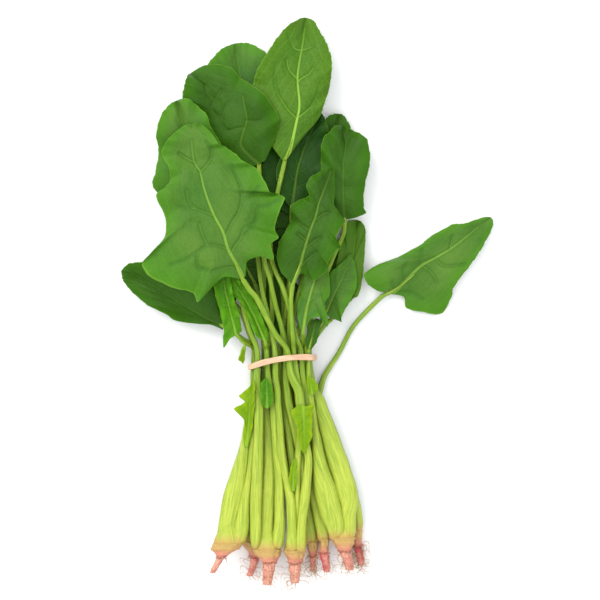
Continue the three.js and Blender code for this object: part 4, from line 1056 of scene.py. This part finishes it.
def total(new, *terms):
    """The sum of numbers, outputs, and outputs with a weight."""
    made = [new("Math", *term, **TIMES) if isinstance(term, tuple) else term for term in terms]
    whole = made[0]
    for part in made[1:]:
        whole = new("Math", whole, part, **PLUS)
    return whole


def painted(new, color, *coats):
    """A colour with others laid over it in turn, each given as its share and itself."""
    for share, coat in coats:
        color = new("Mix", share, color, coat, **MIX)
    return color


def nearest_line(new, phase, spacing):
    """Millimetres to the nearest whole number of a phase that is spacing millimetres long."""
    part = new("Math", phase, 0.0, operation="FRACT")
    off = new("Math", new("Math", part, 0.5, operation="SUBTRACT"), 0.0, operation="ABSOLUTE")
    return new("Math", new("Math", 0.5, off, operation="SUBTRACT"), spacing, **TIMES)


def leaf_material(name, deep, fresh, edge, vein, back, vein_strength):
    """Living spinach leaf: a thin cuticle over green cells gives a satin gloss, the veins carry no green
    and show pale, and the cells between the finest veins puff up a little. It is paler on the back.
    Within about two millimetres of the rib and side veins its deep colour is laid on as painted shade
    in their creases."""
    material, new = blank(name)
    place = new("TexCoord", out="Object")
    phase, rib_off, across = carried(new, "blade")
    small_phase, spacing, tone = carried(new, "blade_fine")
    under, onward, side_off, vein_share = (
        new("Attribute", out="Fac", attribute_name=name)
        for name in ("under", "onward", "side_off", "vein_share")
    )
    side_off = new("Math", side_off, nearest_line(new, phase, spacing), **LEAST)
    # pale lines: the side veins, the rib, the small veins, and a net with meshes of 2.6 mm
    side = new("MapRange", side_off, 0.06, 0.45, 1.0, 0.0, **FADE)
    side = new("Math", side, new("MapRange", across, 0.05, 0.75, 0.6, 0.0, **FADE), **TIMES)
    thinning = new("Math", rib_off, total(new, (onward, 1.6), 1.0), **TIMES)
    middle = new("MapRange", thinning, 0.5, 1.5, 1.0, 0.0, **FADE)
    middle = new("Math", middle, new("MapRange", onward, 0.25, 1.2, 1.0, 0.0, **FADE), **TIMES)
    small = nearest_line(new, small_phase, new("Math", spacing, 0.42, **TIMES))
    small = new("MapRange", small, 0.03, 0.35, 0.14, 0.0, **FADE)
    net = new("TexVoronoi", place, 1000 / 2.6, at=("Vector", "Scale"), out="Distance",
              feature="DISTANCE_TO_EDGE")
    mask = new("MapRange", net, 0.01, 0.14, 0.06, 0.0, **FADE)
    for lines in (small, middle, side):
        mask = new("Math", mask, lines, **MOST)
    # broad light and dark patches, 26 mm, and a fine grain, 2.2 mm
    broad = new("TexNoise", place, 1000 / 26, 3, **NOISE)
    grain = new("TexNoise", place, 1000 / 2.2, 5, **NOISE)
    share = total(new, (broad, 0.9), (tone, 0.5), (grain, 0.35))
    share = new("MapRange", share, 0.5, 1.25)
    bright = new("MapRange", total(new, across, (broad, 0.5)), 1.25, 0.65, 0.9, 0.0, **FADE)
    # painted shade: the deep colour, laid on beside the rib and side veins as the shade in their creases
    crease_shade = new("MapRange", new("Math", side_off, rib_off, **LEAST), 0.3, 2.2, 0.6, 0.0, **FADE)
    crease_shade = new("Math", crease_shade, total(new, (vein_share, 1.3), 0.1), **TIMES)
    shown = new("Math", new("Math", mask, vein_strength, **TIMES), vein_share, **TIMES)
    rim = new("MapRange", across, 0.955, 1.0, 0.0, 0.25)
    color = painted(
        new, new("Mix", share, deep, fresh, **MIX), (bright, edge), (new("Math", under, 0.6, **TIMES), back),
        (new("Clamp", crease_shade), deep), (shown, vein), (rim, vein),
    )
    cells = new("MapRange", net, 0.4, 0.0, 0.22, 0.0, **FADE)
    bump = new("Bump", total(new, cells, (grain, 0.35), (mask, -0.8)), 0.4, 0.0006, **BUMP)
    rough = new("MapRange", grain, 0.3, 0.7, 0.42, 0.6)
    return finished(material, new, color, rough, bump, IOR=1.43, Specular_IOR_Level=0.14)


def stalk_material(pale, green, gap, side, pink):
    """Leaf stalk: smooth juicy skin over strings that run its whole length, so the colour is in fine
    streaks, whose darker grooves and paler ridges are partly painted shade and painted highlight. It is
    greenest near the blade, yellow green further down, and pink where the crown starts. Its lower sides
    are painted a deeper green as shade."""
    material, new = blank("living_leaf_stalk")
    place = new("TexCoord", out="Object")
    around, covered, above = carried(new, "stalk")
    shade, upper = (new("Attribute", out="Fac", attribute_name=key) for key in ("shade", "upper"))
    drawn = new("CombineXYZ", around, new("Math", covered, 0.035, **TIMES), new("Math", shade, 40, **TIMES))
    streak = new("TexNoise", drawn, 0.9, 3.0, **NOISE)
    strings = new("TexNoise", drawn, 2.6, 2.0, **NOISE)
    up = new("MapRange", above, 35.0, 120.0, 0.0, 1.0)
    share = new("Clamp", total(new, up, (streak, 2.2), -0.99, (shade, 0.18)))
    patchy = total(new, above, (streak, 9), -4.5)
    color = painted(
        new, new("Mix", share, pale, green, **MIX),
        # the strings' streaks are partly their own colour and partly painted shade and painted highlight: the
        # same noise raises the bump, so the darker groove colour lies in its valleys and the pale colour on
        # its crests
        (new("MapRange", strings, 0.36, 0.48, 0.6, 0.0, **FADE), gap),
        (new("MapRange", strings, 0.66, 0.54, 0.5, 0.0, **FADE), pale),
        # painted shade: the lower side of each stalk, and of the crown, turns a deeper green
        (new("MapRange", upper, -0.5, 0.6, 0.8, 0.0, **FADE), side),
        (new("MapRange", patchy, -3.0, 8.0, 0.85, 0.0, **FADE), pink),
    )
    skin = new("TexNoise", place, 1000 / 3, 4.0, **NOISE)
    bump = new("Bump", total(new, strings, skin), 0.55, 0.0009, **BUMP)
    return finished(material, new, color, 0.36, bump, IOR=1.4, Specular_IOR_Level=0.5)


def root_material(skin, red, ring, pale, green, hair):
    """Root skin: pink to orange, redder where it leaves the crown, with a dry brown ring there that is
    made darker as painted shade in the gap under the crown, and paler rings round it where rootlets
    sprouted. It is dull and slightly damp."""
    material, new = blank("spinach_root_skin")
    place = new("TexCoord", out="Object")
    around, above = carried(new, "root")[:2]
    tint, hairy = (new("Attribute", out="Fac", attribute_name=key) for key in ("tint", "hair"))
    patches = new("TexNoise", place, 1000 / 5, 4.0, **NOISE)
    grain = new("TexNoise", place, 1000 / 0.9, 4.0, **NOISE)
    drawn = new("CombineXYZ", around, new("Math", above, 0.3, **TIMES))
    fissure = new("TexNoise", drawn, 1.1, 4.0, **NOISE)
    spread_red = new("MapRange", patches, 0.62, 0.38, 1.0, 0.0, **FADE)
    redness = new("Math", tint, total(new, spread_red, 0.45), **TIMES)
    # above is the distance over the root's narrow start, where the dry ring and the painted shade of the gap
    # under the crown sit
    ragged = total(new, above, (patches, 5), -2.5)
    streaks = new("Math", new("MapRange", ragged, 0.4, 1.8, 1.0, 0.0, **FADE),
                  new("MapRange", grain, 0.56, 0.42, 1.0, 0.0, **FADE), **TIMES)
    color = painted(
        new, new("Mix", new("Clamp", redness), skin, red, **MIX),
        (new("MapRange", grain, 0.62, 0.5, 0.5, 0.0, **FADE), pale),
        (new("MapRange", fissure, 0.34, 0.46, 0.4, 0.0, **FADE), ring),
        (new("MapRange", ragged, 1.8, 0.2, 1.0, 0.0, **FADE), pale),
        (new("MapRange", total(new, ragged, (fissure, 3)), 7.5, 2.5, 0.45, 0.0, **FADE), green),
        (new("Math", streaks, 0.35, **TIMES), ring),
        # partly the dry ring and partly painted shade: brown strongest right at the root's narrow start, in
        # the gap under the crown
        (new("MapRange", new("Math", ragged, 0.0, operation="ABSOLUTE"), 0.3, 1.1, 0.75, 0.0, **FADE), ring),
        (hairy, hair),
    )
    bump = new("Bump", total(new, patches, fissure, grain), 0.7, 0.0011, **BUMP)
    return finished(material, new, color, 0.5, bump, IOR=1.42)


def band_material(rubber):
    """Natural rubber band: cut from a dipped tube, so it is even in colour, matt, with fine draw lines
    along it."""
    material, new = blank("natural_rubber")
    covered, across = carried(new, "band")[:2]
    lines = new("CombineXYZ", new("Math", covered, 0.12, **TIMES), new("Math", across, 4, **TIMES))
    draw = new("TexNoise", lines, 1.0, 3.0, **NOISE)
    darker = tuple(0.72 * v for v in rubber[:3]) + (1.0,)
    color = new("Mix", new("MapRange", draw, 0.4, 0.62, 1.0, 0.0, **FADE), rubber, darker, **MIX)
    return finished(material, new, color, 0.48, new("Bump", draw, 0.3, 0.0004, **BUMP), IOR=1.52)


def floor_material(pale):
    """Matt painted board: even, almost white, with the faintest mottling."""
    material, new = blank("matt_white_board")
    off_white = tuple(0.985 * v for v in pale[:3]) + (1.0,)
    mottling = new("TexNoise", new("TexCoord", out="Object"), 1000 / 120, 2, **NOISE)
    return finished(material, new, new("Mix", mottling, pale, off_white, **MIX), 0.85)


def color_property(name, description, code):
    return bpy.props.FloatVectorProperty(
        name=name, description=description, default=linear(code), size=4, min=0, max=1, subtype="COLOR"
    )


class LeafSettings(bpy.types.PropertyGroup):
    fresh: color_property("Fresh green", "Lit upper side of a full leaf", "#517529")
    # Each hollows colour gives a finish's darker patches and also its painted shade in the creases beside the
    # veins.
    deep: color_property("Deep green", "Hollows of a full leaf", "#34601a")
    edge: color_property("Leaf edge", "Brighter green towards the edge of a full leaf", "#417612")
    # The dark finish is a darker copy of the leaf colours; on leaf_low_left it is painted shade.
    dark: color_property("Dark green", "Lit upper side of the darker leaves", "#376016")
    dark_deep: color_property("Dark hollows", "Hollows of the darker leaves", "#234604")
    dark_edge: color_property("Dark edge", "Edge of the darker leaves", "#2f5e00")
    back: color_property("Leaf back", "Paler under side", "#4a6e1c")
    back_deep: color_property("Leaf back hollows", "Hollows of the under side", "#3a6412")
    back_edge: color_property("Leaf back edge", "Edge of the under side", "#41680c")
    yellow: color_property("Crinkled leaf", "Bright green of the half grown leaves", "#508a04")
    yellow_deep: color_property("Crinkled leaf hollows", "Hollows of the half grown leaves", "#2c5f00")
    young: color_property("Young leaf", "Yellow green of the youngest leaves", "#829c02")
    young_deep: color_property("Young leaf hollows", "Hollows of the youngest leaves", "#568000")
    # painted shade: the deepest finish colours the leaves deep in the bunch as dark as the shade there
    deepest: color_property("Shaded leaf", "Leaves deep in the bunch", "#1f4a06")
    deepest_deep: color_property("Shaded leaf hollows", "Hollows of leaves deep in the bunch", "#0f3202")
    vein: color_property("Veins", "Pale veins and leaf edge", "#94ba46")
    relief: bpy.props.FloatProperty(
        name="Relief", description="How far the pillows and waves stand out", default=1.0, min=0, max=2,
        subtype="FACTOR",
    )


class StalkSettings(bpy.types.PropertyGroup):
    pale: color_property("Pale stalk", "Yellow green of the lower stalks", "#b1be42")
    green: color_property("Green stalk", "Upper stalks", "#6c9018")
    # the groove colour is partly the strings' own colour and partly painted shade in the valleys of the bump
    gap: color_property("Grooves", "Darker strings and grooves", "#7c9a1e")
    # painted shade: the deeper green laid on the lower sides of the stalks and crowns
    side: color_property("Stalk sides", "Deeper green low on the sides of the stalks", "#2c5804")
    pink: color_property("Crown", "Pink of the crown", "#c67c5e")
    sides: bpy.props.IntProperty(name="Sides", description="Corners round a stalk", default=26, min=8, max=64)


class RootSettings(bpy.types.PropertyGroup):
    skin: color_property("Root skin", "Pale orange skin", "#e4ac92")
    red: color_property("Red skin", "Redder patches", "#c84a58")
    # the ring colour is also painted shade in the gap under the crown
    ring: color_property("Dry ring", "Brown ring under the crown", "#8f4c34")
    pale: color_property("Pale skin", "Pink foot of the crown and rings round rootlets", "#c87e68")
    green: color_property("Crown green", "Green that runs down from the stalks", "#a8b53a")
    hair: color_property("Hairs", "Dry root hairs", "#b08850")
    share: bpy.props.FloatProperty(
        name="Share of hairs", description="How many of the counted hairs are drawn", default=1.0, min=0.1,
        max=3, subtype="FACTOR",
    )
    longest: bpy.props.FloatProperty(
        name="Longest hair", description="Length of the longest hairs", default=0.011, min=0.0, max=0.03,
        subtype="DISTANCE", unit="LENGTH",
    )


class BandSettings(bpy.types.PropertyGroup):
    rubber: color_property("Rubber", "Pale peach rubber", "#dcb28e")


class StageSettings(bpy.types.PropertyGroup):
    floor: color_property("Floor", "Pale floor", "#f6f6f4")
    key_power: bpy.props.FloatProperty(
        name="Main light", description="Power of the light at the upper left", default=17.0, min=0,
        subtype="POWER", unit="POWER",
    )
    fill_power: bpy.props.FloatProperty(
        name="Fill light", description="Power of the wide light overhead", default=14.0, min=0,
        subtype="POWER", unit="POWER",
    )
    height: bpy.props.FloatProperty(
        name="Camera height", description="Height of the camera over the floor", default=1.5, min=0.5,
        subtype="DISTANCE", unit="LENGTH",
    )


def leaf_materials(settings):
    """The finishes of leaf, made once and shared."""
    made = {}
    for key, name, colors, strength in (
        ("dark", "dark_spinach_leaf_and_painted_shade", (settings.dark_deep, settings.dark, settings.dark_edge), 0.4),
        ("leaf", "fresh_spinach_leaf", (settings.deep, settings.fresh, settings.edge), 0.6),
        ("back", "spinach_leaf_back", (settings.back_deep, settings.back, settings.back_edge), 0.8),
        ("yellow", "half_grown_spinach_leaf", (settings.yellow_deep, settings.yellow, settings.yellow), 0.7),
        ("young", "young_spinach_leaf", (settings.young_deep, settings.young, settings.young), 0.7),
        ("deepest", "shaded_spinach_leaf", (settings.deepest_deep, settings.deepest, settings.deepest), 0.5),
    ):
        known = bpy.data.materials.get(name)
        made[key] = known or leaf_material(name, *map(tuple, colors), tuple(settings.vein),
                                           tuple(settings.back), strength)
    return made


def build_leaves(chosen, settings):
    """Builds the leaves that are chosen, each with its own grid and finish."""
    materials = leaf_materials(settings)
    for leaf in chosen:
        rows, columns = leaf.get("grid", PLAIN_GRID)
        relief = leaf.get("relief", PLAIN_RELIEF) * settings.relief
        heap = Heap()
        heap.add(*blade_surface(leaf, rows, columns, relief))
        if "wings" in leaf:
            heap.add(*wing_surface(*leaf["wings"]))
        tone = leaf.get("tone", "dark")
        material = materials[leaf.get("finish", tone)]
        name = leaf["name"]
        heap.piece(name.replace("leaf", "blade"), material, [name], SLOT[tone])


class SPINACH_OT_upper_leaves(bpy.types.Operator):
    """Builds the leaf blades on top of the bunch"""

    bl_idname = "spinach.upper_leaves"
    bl_label = "Upper leaves"

    def execute(self, context):
        chosen = [leaf for leaf in LEAVES if "rib" in leaf and "small" not in leaf["name"]]
        build_leaves(chosen, context.scene.spinach_leaves)
        return {"FINISHED"}


class SPINACH_OT_small_leaves(bpy.types.Operator):
    """Builds the small young leaves among the stalks"""

    bl_idname = "spinach.small_leaves"
    bl_label = "Small leaves"

    def execute(self, context):
        chosen = [leaf for leaf in LEAVES if "small" in leaf["name"]]
        build_leaves(chosen, context.scene.spinach_leaves)
        return {"FINISHED"}


class SPINACH_OT_under_leaves(bpy.types.Operator):
    """Builds the leaves of the under side, which the photograph doesn't show"""

    bl_idname = "spinach.under_leaves"
    bl_label = "Under leaves"

    def execute(self, context):
        build_leaves([leaf for leaf in LEAVES if "rib" not in leaf], context.scene.spinach_leaves)
        return {"FINISHED"}


class SPINACH_OT_stalks(bpy.types.Operator):
    """Builds the stalks and the green part of the crown of each plant, one piece a plant"""

    bl_idname = "spinach.stalks"
    bl_label = "Stalks"

    def execute(self, context):
        settings = context.scene.spinach_stalks
        material = stalk_material(*map(tuple, (settings.pale, settings.green, settings.gap, settings.side,
                                               settings.pink)))
        named = {leaf["name"]: leaf for leaf in LEAVES}
        for number, plant in enumerate(PLANTS, 1):
            heap = Heap()
            crown_y = plan_y(crown_top(plant))
            for leaf in LEAVES:
                if leaf["plant"] == number and "slot" in leaf:
                    heap.add(*stalk_surface(leaf, crown_y, settings.sides))
                if leaf["plant"] == number and "grows_on" in leaf:
                    heap.add(*petiole_surface(leaf, named[leaf["grows_on"]], crown_y))
            heap.add(*crown_surface(plant))
            heap.piece("plant_%d_stalks" % number, material, ["plant_%d_stems" % number], "stalk")
        return {"FINISHED"}


class SPINACH_OT_roots(bpy.types.Operator):
    """Builds the root stub of each plant with its side roots and fine hairs"""

    bl_idname = "spinach.roots"
    bl_label = "Roots"

    def execute(self, context):
        settings = context.scene.spinach_roots
        material = root_material(*map(tuple, (settings.skin, settings.red, settings.ring, settings.pale,
                                              settings.green, settings.hair)))
        for index, plant in enumerate(PLANTS):
            heap = Heap()
            heap.add(*root_surface(plant, index))
            count = int(plant["hairs"] * settings.share)
            hairs = root_hairs(plant, index, count, settings.longest / MM)
            # each kind: where, half thickness, curl, seed, how much it is coloured as hair, and rings
            for where, thickness, curl, seed, hairiness, rings in (
                (rootlets(plant, index), ROOTLET, 0.16, 70, 0.5, 12),
                (dry_scales(plant, index), SCALE, 0.25, 50, 0.25, 6),
                (hairs, HAIR, 0.34, 90, 1.0, 10),
            ):
                heap.add(*strands(*where, thickness, curl, seed + index, hairiness, rings))
            name = "plant_%d_root" % (index + 1)
            heap.piece(name + "_stub", material, [name], "root")
        return {"FINISHED"}


class SPINACH_OT_band(bpy.types.Operator):
    """Builds the rubber band round the stalks"""

    bl_idname = "spinach.band"
    bl_label = "Rubber band"

    def execute(self, context):
        material = band_material(tuple(context.scene.spinach_band.rubber))
        vertices, faces, layers = band_surface()
        make_piece("rubber_ring", vertices, faces, layers, material, ["rubber_band"])
        return {"FINISHED"}


def light(name, place, size, power, color):
    """A round light that looks at the origin."""
    lamp = bpy.data.lights.new(name, "AREA")
    lamp.shape, lamp.size, lamp.energy, lamp.color = "DISK", size, power, color
    holder = bpy.data.objects.new(name, lamp)
    bpy.context.scene.collection.objects.link(holder)
    holder.location = place
    holder.rotation_euler = (-Vector(place)).to_track_quat("-Z", "Y").to_euler()


class SPINACH_OT_stage(bpy.types.Operator):
    """Builds the floor, the lights and the camera, which looks straight down"""

    bl_idname = "spinach.stage"
    bl_label = "Stage"

    def execute(self, context):
        settings = context.scene.spinach_stage
        mesh = bpy.data.meshes.new("floor")
        around = ((-1, -1), (1, -1), (1, 1), (-1, 1))
        corners = [(x * FLOOR_HALF, y * FLOOR_HALF, -FLOOR_DROP) for x, y in around]
        mesh.from_pydata(corners, [], [(0, 1, 2, 3)])
        mesh.materials.append(floor_material(tuple(settings.floor)))
        floor = bpy.data.objects.new("floor", mesh)
        context.scene.collection.objects.link(floor)
        light("main_light", place=(-0.75, 0.8, 1.15), size=1.1, power=settings.key_power,
              color=(1.0, 0.985, 0.96))
        light("fill_light", place=(0.25, -0.2, 1.9), size=2.2, power=settings.fill_power,
              color=(0.97, 0.985, 1.0))
        world = bpy.data.worlds.new("studio")
        world.use_nodes = True
        surround = world.node_tree.nodes["Background"].inputs
        surround["Color"].default_value = (0.95, 0.97, 1.0, 1.0)
        surround["Strength"].default_value = 1.1
        context.scene.world = world
        context.scene.view_settings.view_transform = "Standard"
        camera = bpy.data.cameras.new("camera")
        # the picture is as wide as the plan at the middle of the bunch's height
        width = VIEW_PIXELS * PIXEL * MM
        camera.lens = camera.sensor_width * (settings.height - BUNCH_MIDDLE_HEIGHT) / width
        holder = bpy.data.objects.new("camera", camera)
        context.scene.collection.objects.link(holder)
        holder.location = (plan_x(VIEW_CENTRE[0]) * MM, plan_y(VIEW_CENTRE[1]) * MM, settings.height)
        context.scene.camera = holder
        return {"FINISHED"}


STEPS = (
    SPINACH_OT_upper_leaves, SPINACH_OT_small_leaves, SPINACH_OT_under_leaves,
    SPINACH_OT_stalks, SPINACH_OT_roots, SPINACH_OT_band, SPINACH_OT_stage,
)


class SPINACH_PT_panel(bpy.types.Panel):
    """Lists the steps and their settings"""

    bl_idname = "SPINACH_PT_panel"
    bl_label = "Spinach bunch"
    bl_space_type = "VIEW_3D"
    bl_region_type = "UI"
    bl_category = "Spinach"

    def draw(self, context):
        for key, label in GROUPS.items():
            box = self.layout.box()
            box.label(text=label[1])
            settings = getattr(context.scene, key)
            for name in settings.bl_rna.properties.keys():
                if name not in ("rna_type", "name"):
                    box.prop(settings, name)
        for step in STEPS:
            self.layout.operator(step.bl_idname)


GROUPS = {
    "spinach_leaves": (LeafSettings, "Leaves"),
    "spinach_stalks": (StalkSettings, "Stalks"),
    "spinach_roots": (RootSettings, "Roots"),
    "spinach_band": (BandSettings, "Rubber band"),
    "spinach_stage": (StageSettings, "Stage"),
}


def register():
    for group in GROUPS.values():
        bpy.utils.register_class(group[0])
    for key, group in GROUPS.items():
        setattr(bpy.types.Scene, key, bpy.props.PointerProperty(type=group[0]))
    for step in STEPS:
        bpy.utils.register_class(step)
    bpy.utils.register_class(SPINACH_PT_panel)


def unregister():
    bpy.utils.unregister_class(SPINACH_PT_panel)
    for step in reversed(STEPS):
        bpy.utils.unregister_class(step)
    for key, group in reversed(GROUPS.items()):
        delattr(bpy.types.Scene, key)
        bpy.utils.unregister_class(group[0])


def main():
    """Builds everything in order."""
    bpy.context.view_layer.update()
    register()
    bpy.ops.spinach.upper_leaves()
    bpy.ops.spinach.small_leaves()
    bpy.ops.spinach.under_leaves()
    bpy.ops.spinach.stalks()
    bpy.ops.spinach.roots()
    bpy.ops.spinach.band()
    bpy.ops.spinach.stage()


if __name__ == "__main__":
    main()
